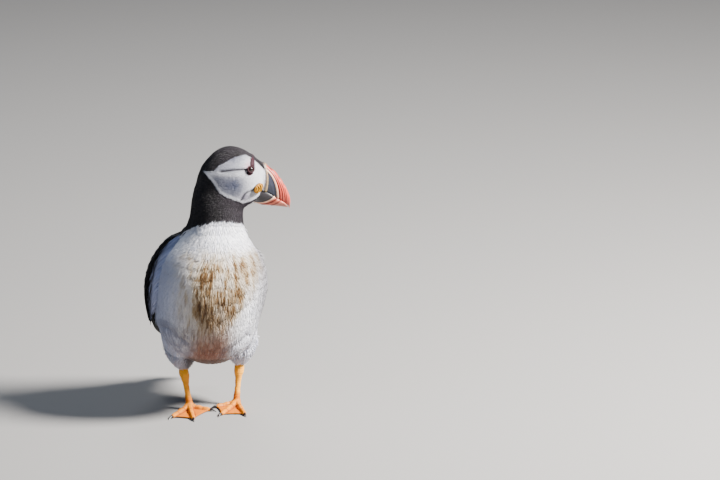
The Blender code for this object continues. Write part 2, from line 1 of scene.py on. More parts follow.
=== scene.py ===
"""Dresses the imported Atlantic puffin: skin, plumage, bill, eyes and feet, and the studio it stands in.

Lengths named in millimetres are turned into metres by MM. Two frames of the bird are used
throughout. The body's gives (side, forward, height), with side to the bird's left. The head's gives
(ahead, side, height) from between the eyes, with ahead towards the tip of the bill.
"""

import logging
import math
from dataclasses import dataclass, field
from enum import Enum
from functools import cache, cached_property
from typing import Callable, Iterable, Sequence

import bmesh
import bpy
import numpy as np
from bmesh.types import BMesh, BMVert
from bpy.types import Mesh, Node, NodeSocket, Object
from mathutils import Matrix, Vector
from mathutils.bvhtree import BVHTree


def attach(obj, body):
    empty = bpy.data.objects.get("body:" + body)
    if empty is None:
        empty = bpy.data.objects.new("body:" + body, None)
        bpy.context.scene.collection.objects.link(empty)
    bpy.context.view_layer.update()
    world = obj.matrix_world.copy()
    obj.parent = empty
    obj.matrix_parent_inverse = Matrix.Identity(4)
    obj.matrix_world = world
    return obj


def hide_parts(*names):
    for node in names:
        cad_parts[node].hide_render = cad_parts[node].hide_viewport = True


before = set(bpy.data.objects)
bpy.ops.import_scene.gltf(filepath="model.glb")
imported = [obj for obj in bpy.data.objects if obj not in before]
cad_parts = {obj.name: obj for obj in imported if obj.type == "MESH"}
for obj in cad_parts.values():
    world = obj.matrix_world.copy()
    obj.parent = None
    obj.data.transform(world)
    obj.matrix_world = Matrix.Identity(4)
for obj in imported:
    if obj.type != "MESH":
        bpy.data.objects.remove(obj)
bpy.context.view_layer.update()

LOG = logging.getLogger("puffin")
MM = 0.001
BODY = "root"
Array = np.ndarray
Random = np.random.Generator
Pair = tuple[float, float]
Triple = tuple[float, float, float]


class Side(Enum):
    """The two sides of the bird, valued by the sign of the side axis."""

    LEFT = 1.0
    RIGHT = -1.0

    def named(self, part: str) -> str:
        """A part's name with the side, as the nodes spell it."""
        return f"{part}_{self.name.lower()}"


# ---- Numbers: curves, steps and noise ----


def smoothstep(values: Array, start: float, end: float) -> Array:
    """Rises smoothly from 0 at start to 1 at end; end may be below start."""
    t = np.clip((np.asarray(values, float) - start) / (end - start), 0.0, 1.0)
    return t * t * (3 - 2 * t)


def bump(values: Array, centre: float, half_width: float) -> Array:
    """A bell of height 1 round centre."""
    return np.exp(-(((np.asarray(values, float) - centre) / half_width) ** 2))


def spot(x: Array, y: Array, centre: Pair, half_widths: Pair, powers: tuple[int, int] = (2, 2)) -> Array:
    """A soft spot of height 1 round a centre; higher powers give a flatter top."""
    across = (x - centre[0]) / half_widths[0]
    along = (y - centre[1]) / half_widths[1]
    return np.exp(-(across ** powers[0]) - along ** powers[1])


def lerp(first: Array, second: Array, share: Array) -> Array:
    """Mixes two arrays of colours or points by a share for each row."""
    share = np.asarray(share)[..., None]
    return np.asarray(first) * (1 - share) + np.asarray(second) * share


def unit(vectors: Array) -> Array:
    """Rows scaled to length 1."""
    return vectors / np.maximum(np.linalg.norm(vectors, axis=-1, keepdims=True), 1e-12)


def turned(vectors: Array, axes: Array, angles: Array) -> Array:
    """Each vector turned about its own unit axis, to which it stands square."""
    angles = np.asarray(angles)[:, None]
    return vectors * np.cos(angles) + np.cross(axes, vectors) * np.sin(angles)


def lattice_value(cells: Array, seed: int) -> Array:
    """A number from 0 to 1 that belongs to each cell of a lattice."""
    x, y, z = (cells[..., i].astype(np.uint64) for i in range(3))
    mask = np.uint64(0xFFFFFFFF)
    mixed = (x * np.uint64(73856093)) ^ (y * np.uint64(19349663)) ^ (z * np.uint64(83492791))
    mixed = (mixed ^ np.uint64(seed * 2654435761 % 2**32)) & mask
    mixed = ((mixed ^ (mixed >> np.uint64(15))) * np.uint64(2246822519)) & mask
    mixed = ((mixed ^ (mixed >> np.uint64(13))) * np.uint64(3266489917)) & mask
    return (mixed ^ (mixed >> np.uint64(16))).astype(float) / 2**32


def noise(points: Array, seed: int = 0) -> Array:
    """Smooth noise from 0 to 1 with features one unit across.

    Args:
        points: places, one a row.
        seed: picks another pattern.

    Returns:
        One value for each row.
    """
    base = np.floor(points)
    part = points - base
    ease = part * part * (3 - 2 * part)
    cells = base.astype(np.int64) + 4096
    total = np.zeros(len(points))
    for corner in np.ndindex(2, 2, 2):
        weight = np.prod(np.where(corner, ease, 1 - ease), axis=1)
        total += weight * lattice_value(cells + np.array(corner), seed)
    return total


def curve_through(rows: Sequence[Sequence[float]]) -> Callable[[Array], Array]:
    """A smooth curve through rows spaced evenly from 0 to 1.

    Args:
        rows: the points that it passes through.

    Returns:
        A function from an array of parameters to an array of points.
    """
    table = np.asarray(rows, float)
    last = len(table) - 1
    slopes = np.gradient(table, axis=0)

    def at(share: Array) -> Array:
        """The points at these parameters."""
        place = np.clip(np.asarray(share, float) * last, 0, last)
        i = np.minimum(place.astype(int), last - 1)
        t = (place - i)[..., None]
        ease = t * t * (3 - 2 * t)
        return (
            table[i] * (1 - ease) + table[i + 1] * ease
            + slopes[i] * t * (1 - t) ** 2 - slopes[i + 1] * t * t * (1 - t)
        )

    return at


def distance_to_line(points: Array, line: Sequence[Sequence[float]]) -> Array:
    """Distance of flat points to a line of straight stretches."""
    best = np.full(len(points), np.inf)
    for start, end in zip(np.asarray(line[:-1], float), np.asarray(line[1:], float)):
        span = end - start
        t = np.clip(((points - start) @ span) / (span @ span), 0, 1)
        best = np.minimum(best, np.linalg.norm(points - start - t[:, None] * span, axis=1))
    return best


def inside_outline(points: Array, outline: Sequence[Sequence[float]]) -> Array:
    """Signed distance of flat points to a closed outline, above 0 inside it."""
    corners = np.asarray(outline, float)
    inside = np.zeros(len(points), bool)
    x, y = points[:, 0], points[:, 1]
    for (ax, ay), (bx, by) in zip(corners, np.roll(corners, -1, axis=0)):
        crosses = (ay > y) != (by > y)
        with np.errstate(divide="ignore", invalid="ignore"):
            inside ^= crosses & (x < (bx - ax) * (y - ay) / (by - ay) + ax)
    distance = distance_to_line(points, [*corners, corners[0]])
    return np.where(inside, distance, -distance)


# ---- The bird's frames ----


@dataclass(frozen=True)
class Frame:
    """Axes and origin of one part of the bird; its own coordinates are millimetres."""

    origin: Array
    axes: Array  # one axis a row

    def local(self, points: Array) -> Array:
        """World points in this frame."""
        return (np.asarray(points) - self.origin) @ self.axes.T / MM

    def world(self, points: Array) -> Array:
        """Points of this frame in the world."""
        return np.asarray(points, float) * MM @ self.axes + self.origin

    def turn(self, vectors: Array) -> Array:
        """Directions of this frame in the world."""
        return np.asarray(vectors, float) @ self.axes

    @staticmethod
    def of_body() -> "Frame":
        """Side, forward and height of the body, over the point under its upright axis."""
        axes = np.array([(1.0, 0.0, 0.0), (0.0, -1.0, 0.0), (0.0, 0.0, 1.0)])
        return Frame(Frame.of_head().origin - np.array(HEAD_OVER_BODY) * MM @ axes, axes)

    @staticmethod
    def of_head() -> "Frame":
        """Ahead, side and height of the head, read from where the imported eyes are."""
        turn = math.radians(HEAD_TURN)
        ahead = np.array([math.cos(turn), math.sin(turn), 0.0])
        axes = np.array([ahead, (-ahead[1], ahead[0], 0.0), (0.0, 0.0, 1.0)])
        eyes = [node_places(side.named("eye")).mean(axis=0) for side in Side]
        return Frame(np.mean(eyes, axis=0) - np.array(EYES_OVER_HEAD) * MM @ axes, axes)

    @staticmethod
    def on_face(node: str, side: Side) -> "Frame":
        """Towards the bill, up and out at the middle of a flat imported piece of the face."""
        places = node_places(node)
        centre = places.mean(axis=0)
        principal = np.linalg.svd(places - centre, full_matrices=False)[2]
        out = next(axis for axis in principal[::-1] if abs(axis @ HEAD.axes[2]) < 0.8)
        out = out * np.sign(out @ HEAD.axes[1]) * side.value
        up = unit(HEAD.axes[2] - out * (HEAD.axes[2] @ out))
        return Frame(centre, np.array([np.cross(out, up) * side.value, up, out]))


def vectors_of(items: bpy.types.bpy_prop_collection, name: str) -> Array:
    """A property of all the items, one a row."""
    flat = np.empty(len(items) * 3)
    items.foreach_get(name, flat)
    return flat.reshape(-1, 3)


def node_places(name: str) -> Array:
    """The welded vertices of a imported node."""
    return np.unique(vectors_of(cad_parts[name].data.vertices, "co").round(7), axis=0)


HEAD_TURN = -12.0  # degrees of the head's line from the world's X
HEAD_OVER_BODY = (34.5, 9.4, 226.6)  # the head's origin in the body's frame
EYES_OVER_HEAD = (0.2, 0.0, -1.6)  # the middle of the eyes in the head's frame
BILL_ROOT = (11.0, 0.0, -13.0)  # in the head's frame
ANKLES = {Side.LEFT: (28.6, -15.6, 39.0), Side.RIGHT: (-22.2, -16.5, 37.5)}  # in the body's frame
TOE_ROOTS = {Side.LEFT: (25.0, -12.0, 7.5), Side.RIGHT: (-18.4, -9.5, 7.5)}
TOE_HEADINGS = {Side.LEFT: (-78.0, -35.0, 2.0), Side.RIGHT: (60.0, -4.0, -39.0)}  # degrees from ahead
HEAD = Frame.of_head()
TORSO = Frame.of_body()


def past_root(head: Array) -> Array:
    """How far ahead places lie, measured so that the bill's curved root has one value."""
    return head[:, 0] + 0.016 * (head[:, 2] + 12) ** 2


# ---- Meshes ----


def link(obj: Object) -> Object:
    """Puts an object into the scene."""
    bpy.context.scene.collection.objects.link(obj)
    return obj


def add_piece(name: str, mesh: Mesh, finish: "FeatherFinish | PaintedFinish",
              replaces: Iterable[str] = ()) -> None:
    """Adds a mesh as a piece of the bird that rides on its one body, and reports it.

    Args:
        name: the piece's name.
        mesh: its mesh, in place.
        finish: what it looks like.
        replaces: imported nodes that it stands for.
    """
    mesh.name = name
    finish.make().on(mesh)
    piece = link(bpy.data.objects.new(name, mesh))
    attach(piece, BODY)
    if replaces:
        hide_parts(*replaces)
    LOG.info("%s: %d faces", name, len(mesh.polygons))


def evaluated(obj: Object) -> Mesh:
    """A new mesh with the object's modifiers applied."""
    graph = bpy.context.evaluated_depsgraph_get()
    return bpy.data.meshes.new_from_object(obj.evaluated_get(graph))


def merged_node(name: str) -> BMesh:
    """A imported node's solid as a welded bmesh."""
    bm = bmesh.new()
    bm.from_mesh(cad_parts[name].data)
    bmesh.ops.remove_doubles(bm, verts=bm.verts, dist=0.004 * MM)
    bm.normal_update()
    return bm


def swell(bm: BMesh, amount: float) -> None:
    """Moves every vertex out along its normal."""
    for vert, offset in [(v, v.normal * amount) for v in bm.verts]:
        vert.co += offset


def fused(parts: Sequence[BMesh], voxel: float, smoothing: int) -> Mesh:
    """One even closed mesh round several overlapping closed ones.

    Args:
        parts: the bmeshes, which are used up.
        voxel: size of the new mesh's squares.
        smoothing: rounds of smoothing.

    Returns:
        The new mesh.
    """
    together = bpy.data.meshes.new("together")
    bm = bmesh.new()
    for part in parts:
        part.to_mesh(together)
        bm.from_mesh(together)
        part.free()
    bm.to_mesh(together)
    bm.free()
    holder = link(bpy.data.objects.new("holder", together))
    remesh = holder.modifiers.new("Remesh", "REMESH")
    remesh.mode, remesh.voxel_size, remesh.use_smooth_shade = "VOXEL", voxel, True
    smooth = holder.modifiers.new("Smooth", "SMOOTH")
    smooth.factor, smooth.iterations = 0.5, smoothing
    bpy.context.view_layer.update()
    result = evaluated(holder)
    bpy.data.objects.remove(holder)
    bpy.data.meshes.remove(together)
    return result


def vertex_places(mesh: Mesh) -> Array:
    """The mesh's vertices, one a row."""
    return vectors_of(mesh.vertices, "co")


def vertex_normals(mesh: Mesh) -> Array:
    """The mesh's vertex normals, one a row."""
    return vectors_of(mesh.vertex_normals, "vector")


def corner_vertices(mesh: Mesh) -> Array:
    """The vertex at each corner of the mesh's faces."""
    index = np.empty(len(mesh.loops), np.int32)
    mesh.loops.foreach_get("vertex_index", index)
    return index


def move_vertices(mesh: Mesh, places: Array) -> None:
    """Sets the mesh's vertices."""
    mesh.vertices.foreach_set("co", np.ascontiguousarray(places, float).ravel())
    mesh.update()


def raise_vertices(mesh: Mesh, rise: Array) -> None:
    """Moves each vertex out along its normal by so many millimetres."""
    move_vertices(mesh, vertex_places(mesh) + vertex_normals(mesh) * rise[:, None] * MM)


def paint(mesh: Mesh, colours: Array) -> None:
    """Stores a colour for each vertex, for the finishes to read."""
    layer = mesh.attributes.new("plumage", "FLOAT_COLOR", "POINT")
    rgba = np.ones((len(colours), 4))
    rgba[:, :3] = colours
    layer.data.foreach_set("color", rgba.ravel())


def map_for_baking(mesh: Mesh, uvs: Array) -> None:
    """Stores each vertex's place on the OFBake map."""
    layer = mesh.uv_layers.new(name="OFBake")
    layer.data.foreach_set("uv", uvs[corner_vertices(mesh)].ravel())


def mesh_from_arrays(places: Array, faces: Array, uvs: Array) -> Mesh:
    """A mesh of faces whose rows all have the same length.

    Args:
        places: its vertices.
        faces: vertex numbers, one face a row, where -1 closes a shorter face.
        uvs: for each vertex, its place on the OFBake map.

    Returns:
        The new mesh, shaded smooth.
    """
    used = faces >= 0
    sizes = used.sum(axis=1)
    corners = faces[used]
    mesh = bpy.data.meshes.new("joined")
    mesh.vertices.add(len(places))
    mesh.vertices.foreach_set("co", np.ascontiguousarray(places, float).ravel())
    mesh.loops.add(len(corners))
    mesh.loops.foreach_set("vertex_index", corners.astype(np.int32))
    mesh.polygons.add(len(faces))
    starts = np.concatenate([[0], np.cumsum(sizes)[:-1]]).astype(np.int32)
    mesh.polygons.foreach_set("loop_start", starts)
    mesh.update(calc_edges=True)
    map_for_baking(mesh, uvs)
    mesh.shade_smooth()
    return mesh


def close_bmesh(bm: BMesh) -> Mesh:
    """Turns a closed bmesh into a mesh shaded smooth, its faces outwards."""
    bmesh.ops.recalc_face_normals(bm, faces=bm.faces)
    mesh = bpy.data.meshes.new("closed")
    bm.to_mesh(mesh)
    bm.free()
    mesh.shade_smooth()
    return mesh


def add_bands(bm: BMesh, rings: Array, closed: bool = False) -> list[list[BMVert]]:
    """Adds rings of vertices and the bands of faces between them.

    Args:
        bm: takes them.
        rings: points by ring, place in the ring and axis.
        closed: whether a band joins the last ring to the first.

    Returns:
        The vertices by ring.
    """
    verts = [[bm.verts.new(p) for p in ring] for ring in rings]
    around = len(verts[0])
    for near, far in zip(verts, verts[1:] + verts[:1] * closed):
        for i in range(around):
            j = (i + 1) % around
            bm.faces.new((near[i], near[j], far[j], far[i]))
    return verts


def skinned(rings: Array) -> Mesh:
    """A closed mesh over a stack of closed rings, capped at both ends.

    Args:
        rings: points by ring, place in the ring and axis.

    Returns:
        The new mesh, its faces outwards.
    """
    bm = bmesh.new()
    verts = add_bands(bm, rings)
    around = len(verts[0])
    for ring in (verts[0], verts[-1]):
        middle = bm.verts.new(sum((v.co for v in ring), Vector()) / around)
        for i in range(around):
            bm.faces.new((ring[i], ring[(i + 1) % around], middle))
    return close_bmesh(bm)


# ---- Colours and finishes ----


def shade(red: int, green: int, blue: int) -> Array:
    """A screen colour as linear red, green and blue."""
    screen = np.array([red, green, blue]) / 255
    return np.where(screen <= 0.04045, screen / 12.92, ((screen + 0.055) / 1.055) ** 2.4)


def tint(red: int, green: int, blue: int) -> Array:
    """A palette's entry, given as a screen colour."""
    return field(default_factory=lambda: shade(red, green, blue))


def filtering(red: float, green: float, blue: float) -> Array:
    """A palette's entry that says what share of each colour a full stain lets through."""
    return field(default_factory=lambda: np.array([red, green, blue]))


@dataclass(frozen=True)
class Palette:
    """The bird's colours, painted shade and highlights among them."""

    hood: Array = tint(27, 23, 27)
    hood_painted_sheen: Array = tint(66, 59, 68)
    mantle: Array = tint(20, 20, 24)
    worn_edge: Array = tint(40, 34, 30)
    white: Array = tint(240, 240, 244)
    shaded_white: Array = tint(190, 194, 218)
    shadow_white: Array = tint(132, 143, 180)
    flank_shade_grey: Array = tint(146, 144, 150)
    stain: Array = filtering(0.44, 0.32, 0.18)
    dirt: Array = filtering(0.62, 0.56, 0.50)
    rust: Array = filtering(0.30, 0.12, 0.07)
    thigh_shade: Array = tint(76, 82, 110)
    inner_thigh_shade: Array = tint(74, 58, 64)
    belly_underside_shade: Array = tint(60, 46, 40)
    crease_shade_grey: Array = tint(80, 78, 92)
    face: Array = tint(228, 228, 234)
    face_grey_and_shade: Array = tint(84, 88, 108)
    lilac: Array = tint(140, 130, 150)
    eye_flush: Array = tint(196, 130, 146)
    eye_skin: Array = tint(44, 16, 28)
    groove: Array = tint(34, 30, 38)
    slate: Array = tint(56, 60, 74)
    lower_slate: Array = tint(46, 43, 46)
    horn_ridge: Array = tint(226, 180, 150)
    horn_groove: Array = tint(76, 12, 8)
    horn_red: Array = tint(186, 28, 12)
    horn_pink: Array = tint(200, 82, 56)
    horn_tip: Array = tint(172, 122, 106)
    cere: Array = tint(160, 134, 94)
    cere_pit: Array = tint(168, 140, 104)
    cere_border: Array = tint(70, 56, 50)
    iris: Array = tint(20, 9, 8)
    iris_band: Array = tint(34, 14, 12)
    iris_rim: Array = tint(10, 7, 8)
    pupil: Array = tint(5, 4, 5)
    eye_ring: Array = tint(44, 6, 17)
    eye_plate: Array = tint(40, 8, 20)
    rosette: Array = tint(168, 110, 0)
    rosette_furrow_shade: Array = tint(52, 26, 0)
    rosette_crest_highlight: Array = tint(200, 146, 0)
    orange: Array = tint(196, 106, 0)
    shank_yellow: Array = tint(250, 172, 34)
    toe_orange: Array = tint(212, 128, 4)
    joint_and_shade_orange: Array = tint(118, 38, 2)
    sole: Array = tint(150, 96, 62)
    claw: Array = tint(34, 30, 32)


PALETTE = Palette()


class Finish:
    """Nodes of one procedural material."""

    def __init__(self, name: str) -> None:
        """Starts a Principled material of this name."""
        self.material = bpy.data.materials.new(name)
        self.material.use_nodes = True
        self.tree = self.material.node_tree
        self.shader = self.tree.nodes["Principled BSDF"]

    def set(self, **values: float | Sequence[float]) -> "Finish":
        """Sets the shader's own sockets, named with underscores."""
        for name, value in values.items():
            self.shader.inputs[name.replace("_", " ")].default_value = value
        return self

    def feed(self, socket: NodeSocket, value: object) -> None:
        """Links a socket from another one, or sets it."""
        if isinstance(value, NodeSocket):
            self.tree.links.new(value, socket)
        else:
            socket.default_value = value

    def node(self, kind: str, **inputs: object) -> Node:
        """Adds a node and sets or links its inputs.

        Args:
            kind: the node's type, without ShaderNode.
            inputs: for each socket, a value or the socket to link it from.

        Returns:
            The new node.
        """
        made = self.tree.nodes.new(f"ShaderNode{kind}")
        for name, value in inputs.items():
            self.feed(made.inputs[name.replace("_", " ")], value)
        return made

    def painted(self) -> NodeSocket:
        """The colour that paint() stored on the piece."""
        made = self.tree.nodes.new("ShaderNodeAttribute")
        made.attribute_name = "plumage"
        return made.outputs["Color"]

    def places(self, scale: Triple) -> NodeSocket:
        """Object coordinates, stretched."""
        source = self.tree.nodes.new("ShaderNodeTexCoord").outputs["Object"]
        mapping = self.node("Mapping", Vector=source, Scale=scale)
        return mapping.outputs["Vector"]

    def blend(self, first: object, second: object, share: object, mode: str = "MIX") -> NodeSocket:
        """Mixes two colours."""
        made = self.tree.nodes.new("ShaderNodeMix")
        made.data_type, made.blend_type = "RGBA", mode
        for place, value in ((0, share), (6, first), (7, second)):
            self.feed(made.inputs[place], value)
        return made.outputs[2]

    def grain(self, scale: float, detail: float, stretch: Triple = (1.0, 1.0, 1.0)) -> NodeSocket:
        """Noise over object coordinates."""
        return self.node("TexNoise", Vector=self.places(stretch), Scale=scale, Detail=detail).outputs["Fac"]

    def colour(self, source: NodeSocket) -> None:
        """Links the base colour."""
        self.feed(self.shader.inputs["Base Color"], source)

    def relief(self, height: NodeSocket, depth_mm: float) -> None:
        """Links a bump of this depth."""
        made = self.node("Bump", Height=height, Strength=1.0, Distance=depth_mm * MM)
        self.feed(self.shader.inputs["Normal"], made.outputs["Normal"])

    def on(self, mesh: Mesh) -> None:
        """Gives the material to a mesh."""
        mesh.materials.clear()
        mesh.materials.append(self.material)


@dataclass(frozen=True)
class FeatherFinish:
    """Barbs of a feather over a painted colour."""

    name: str = "feathers"
    roughness: float = 0.62
    sheen: float = 0.05
    speckle: tuple[float, float, float, float] = (0.72, 0.72, 0.75, 1.0)

    @cache
    def make(self) -> Finish:
        """Builds the material once; it reads the piece's painted colour."""
        made = Finish(self.name)
        painted = made.painted()
        span = {"From Min": 0.35, "From Max": 0.75, "To Min": 0.0, "To Max": 0.5}
        share = made.node("MapRange", Value=made.grain(900.0, 2.0), **span).outputs["Result"]
        made.colour(made.blend(painted, self.speckle, share, "MULTIPLY"))
        made.set(Roughness=self.roughness, Specular_IOR_Level=0.2)
        made.set(Sheen_Weight=self.sheen, Sheen_Roughness=0.5)
        return made


@dataclass(frozen=True)
class PaintedFinish:
    """A painted surface with a fine grain in relief and in tone."""

    name: str
    roughness: float
    grain_scale: float
    grain_depth: float
    tone: float = 0.25
    coat: float = 0.0
    coat_roughness: float = 0.2
    stretch: Triple = (1.0, 1.0, 1.0)
    subsurface: float = 0.0
    specular: float = 0.5
    grain_tone: tuple[float, float, float, float] = (0.55, 0.5, 0.5, 1.0)

    @cache
    def make(self) -> Finish:
        """Builds the material once; it reads the piece's painted colour."""
        made = Finish(self.name)
        painted = made.painted()
        grain = made.grain(self.grain_scale, 4.0, self.stretch)
        darker = made.blend(painted, self.grain_tone, self.tone, "MULTIPLY")
        made.colour(made.blend(darker, painted, grain))
        made.relief(grain, self.grain_depth)
        made.set(Roughness=self.roughness, Specular_IOR_Level=self.specular)
        made.set(Coat_Weight=self.coat, Coat_Roughness=self.coat_roughness)
        made.set(Subsurface_Weight=self.subsurface, Subsurface_Scale=1.5 * MM)
        return made


COAT_FINISH = FeatherFinish()
SKIN_FINISH = PaintedFinish("skin", 0.8, 700.0, 0.1)
WING_CORE_FINISH = PaintedFinish("wing_core", 0.7, 500.0, 0.05)
TAIL_CORE_FINISH = PaintedFinish("tail_core", 0.7, 500.0, 0.05)
HORN_FINISH = PaintedFinish(
    "bill_horn", 0.42, 420.0, 0.05, tone=0.2, coat=0.10,
    stretch=(0.5, 0.5, 1.0), subsurface=0.05, specular=0.35,
)
CERE_FINISH = PaintedFinish("bill_cere", 0.55, 900.0, 0.09, coat=0.05, subsurface=0.15)
EYE_FINISH = PaintedFinish("eye", 0.2, 800.0, 0.0, tone=0.1, coat=0.5, coat_roughness=0.06, specular=0.35)
EYE_RING_FINISH = PaintedFinish("eye_ring", 0.6, 900.0, 0.06, tone=0.3, subsurface=0.05, specular=0.2)
EYE_PLATE_FINISH = PaintedFinish("eye_plate", 0.7, 600.0, 0.05, specular=0.2)
ROSETTE_FINISH = PaintedFinish("rosette", 0.6, 900.0, 0.07, tone=0.2, specular=0.25)
FOOT_FINISH = PaintedFinish("foot_skin", 0.55, 1100.0, 0.09, coat=0.04, subsurface=0.05, specular=0.22)
CLAW_FINISH = PaintedFinish("claw", 0.35, 600.0, 0.04, tone=0.2, coat=0.3)


# ---- Markings ----


@dataclass(frozen=True)
class Markings:
    """Where the plumage is black, white, grey and stained, and where shade and highlights are painted on it,
    in millimetres over the bird's frames.
    """

    face_outline: tuple[Pair, ...] = (
        (-41.0, -4.8), (-36.5, -4.2), (-32.4, -2.8), (-28.2, 1.2), (-19.4, 6.1), (-10.6, 9.2),
        (-4.0, 9.5), (0.8, 6.6), (5.2, 2.8), (10.0, -1.5), (15.0, -6.0), (14.0, -24.0),
        (7.0, -29.5), (1.7, -31.5), (-6.2, -33.3), (-13.3, -29.8), (-21.2, -26.4), (-27.0, -22.6),
        (-30.9, -17.3), (-33.5, -12.9), (-37.0, -9.1),
    )  # ahead, height
    breast_outline: tuple[Pair, ...] = (
        (-60.0, 178.5), (0.0, 178.5), (20.0, 177.5), (38.0, 175.5), (58.0, 172.5), (76.0, 168.5),
        (94.0, 161.0), (104.0, 149.0), (105.0, 130.0), (103.0, 100.0), (112.0, 86.0), (124.0, 76.0),
        (140.0, 68.0), (165.0, 60.0), (200.0, 56.0), (200.0, -60.0), (-60.0, -60.0),
    )  # degrees from straight ahead, height
    degree: float = 0.6  # millimetres round the body for a degree
    ragged: float = 1.3
    eye_groove: tuple[Pair, ...] = ((-25.5, -3.0), (-15.0, -1.5), (-6.0, -1.2), (-2.5, -2.0))
    jaw_groove: tuple[Pair, ...] = ((2.4, -20.4), (-3.6, -22.3), (-5.6, -24.3), (-8.2, -29.0))
    brow_line: tuple[Pair, ...] = (
        (0.7, 6.1), (1.2, 4.9), (1.7, 3.2), (2.2, 1.0), (2.6, -2.0), (0.4, -4.8), (-2.2, -4.6),
    )
    thigh_folds: tuple[tuple[Pair, ...], ...] = (
        ((26.0, 79.0), (14.0, 71.0), (5.0, 64.0), (3.0, 56.0)),
        ((-44.0, 86.0), (-30.0, 76.0), (-24.0, 66.0), (-25.0, 56.0)),
    )  # side, height
    breast_fold: tuple[Pair, ...] = ((24.0, 117.0), (16.6, 112.0), (2.4, 104.0), (-8.5, 98.0))

    def axis_angle(self, body: Array) -> Array:
        """Degrees from straight ahead round the body's upright axis, whichever the side."""
        middle = np.interp(body[:, 2], (50.0, 140.0, 210.0), (-1.0, 0.3, 8.0))
        return np.degrees(np.arctan2(np.abs(body[:, 0] - middle), body[:, 1] - 2.0))

    def whiteness(self, body: Array) -> Array:
        """0 on the black of the body and neck, 1 on the white."""
        flat = np.stack([self.axis_angle(body) * self.degree, body[:, 2]], axis=1)
        outline = [(a * self.degree, h) for a, h in self.breast_outline]
        tatter = (noise(body / 2.2, 5) - 0.5) * 2 * self.ragged
        return smoothstep(inside_outline(flat, outline) + tatter, -0.5, 0.5)

    def face_share(self, head: Array) -> Array:
        """0 off the pale face, 1 on it."""
        tatter = (noise(head / 1.4, 6) - 0.5) * 1.2
        edge = inside_outline(head[:, [0, 2]], self.face_outline) + tatter
        stripe = np.interp(head[:, 0], (-12.0, 4.0, 11.0), (7.4, 6.4, 5.6))
        beside = smoothstep(np.abs(head[:, 1]) + tatter * 0.5, stripe - 0.4, stripe + 0.4)
        return smoothstep(edge, -0.35, 0.35) * np.maximum(beside, head[:, 2] < -8)

    def face_colour(self, head: Array) -> Array:
        """Pale grey of the face, whitest at the bill, with its grooves and its pale rim, painted shade and a
        painted highlight.
        """
        ahead, _, up = head.T
        flat = head[:, [0, 2]]
        # The face's own grey, deepened by painted shade towards the rear, the lower cheek and the upper rear
        # of the face.
        grey = 0.02 + 0.66 * smoothstep(ahead, 6.0, -16.0) * smoothstep(up, -34, -24)
        grey += 0.25 * smoothstep(up, 3.0, 9.0) * smoothstep(ahead, 4, -4)
        grey += 0.22 * spot(ahead, up, (-22, -15), (15, 9))
        grey += 0.24 * spot(ahead, up, (-9, -16), (9, 8))
        # Painted highlight along the band below the eye groove.
        grey -= 0.30 * bump(up, -5.5, 2.6) * smoothstep(ahead, -2, -9)
        edge = inside_outline(flat, self.face_outline)
        rim = bump(edge, 1.4, 1.5) * smoothstep(up, -2, -9) * smoothstep(ahead, 6, -4)
        grey = np.clip(grey - 0.6 * rim + 0.12 * (noise(head / 1.6, 8) - 0.5), 0, 1)
        colour = lerp(PALETTE.face, PALETTE.face_grey_and_shade, grey)
        colour = lerp(colour, PALETTE.lilac, 0.7 * spot(ahead, up, (-5, -27), (5, 3.5)))
        colour = lerp(colour, PALETTE.eye_flush, 0.55 * spot(ahead, up, (-2.5, 1.5), (2.6, 3.4)))
        bare = smoothstep(distance_to_line(flat, self.brow_line), 1.7 - 0.08 * np.clip(up, 0, 7), 0.9)
        colour = lerp(colour, PALETTE.eye_skin, bare)
        # Dark paint along the grooves: the eye groove's own dark line deepened by painted shade in its
        # crease, and painted shade in the jaw's crease.
        eye_line = bump(distance_to_line(flat, self.eye_groove), 0, 1.05) * 0.95
        jaw_line = bump(distance_to_line(flat, self.jaw_groove), 0, 0.95) * 0.85
        return lerp(colour, PALETTE.groove, np.maximum(eye_line, jaw_line))

    def stain_share(self, body: Array) -> Array:
        """How brown the breast's streaks are."""
        side, ahead, up = body.T
        spread = 12 + 0.42 * np.clip(up - 88, 0, 60)
        patch = np.exp(-(((side + 6 - 0.18 * (up - 84)) / spread) ** 4)) * smoothstep(up, 76, 100)
        patch *= smoothstep(up, 159, 136) * smoothstep(ahead, 12, 28)
        patch += 0.5 * spot(side, up, (-19, 108), (14, 30)) * smoothstep(ahead, 8, 24)
        clump = noise(body / (3.4, 8.0, 13.0), 11)
        streak = noise(body / (1.2, 3.0, 8.0), 12)
        hair = noise(body / (0.5, 2.0, 4.0), 14)
        strands = smoothstep(0.55 * streak + 0.45 * hair, 0.40, 0.72) * smoothstep(clump, 0.2, 0.6)
        patch *= 1 + 0.45 * smoothstep(side, 4, 20) * smoothstep(up, 104, 124)
        return patch * (0.46 + 0.36 * smoothstep(clump, 0.25, 0.65) + 1.5 * strands)

    def rust_share(self, body: Array) -> Array:
        """How rusty the lower belly is."""
        side, ahead, up = body.T
        patch = spot(side, up, (-7, 62), (15, 17), (4, 2)) * smoothstep(ahead, -6, 10)
        streak = noise(body / (1.1, 4.0, 6.0), 13)
        return 0.95 * patch * (0.62 + 0.38 * smoothstep(streak, 0.2, 0.6))

    def body_colour(self, body: Array) -> Array:
        """White of the breast and belly with its stains, and painted shade in streaks and at the sides."""
        side, ahead, up = body.T
        clouds = noise(body / 5.0, 15)
        strands = smoothstep(noise(body / (1.0, 2.4, 11.0), 16), 0.45, 0.8)
        # Painted shade: blotches and streaks of shaded bluish white, deeper towards the lower belly.
        painted_shade = 0.22 * clouds + 0.30 * strands + 0.25 * smoothstep(up, 90, 55)
        colour = lerp(PALETTE.white, PALETTE.shaded_white, np.clip(painted_shade, 0, 1))
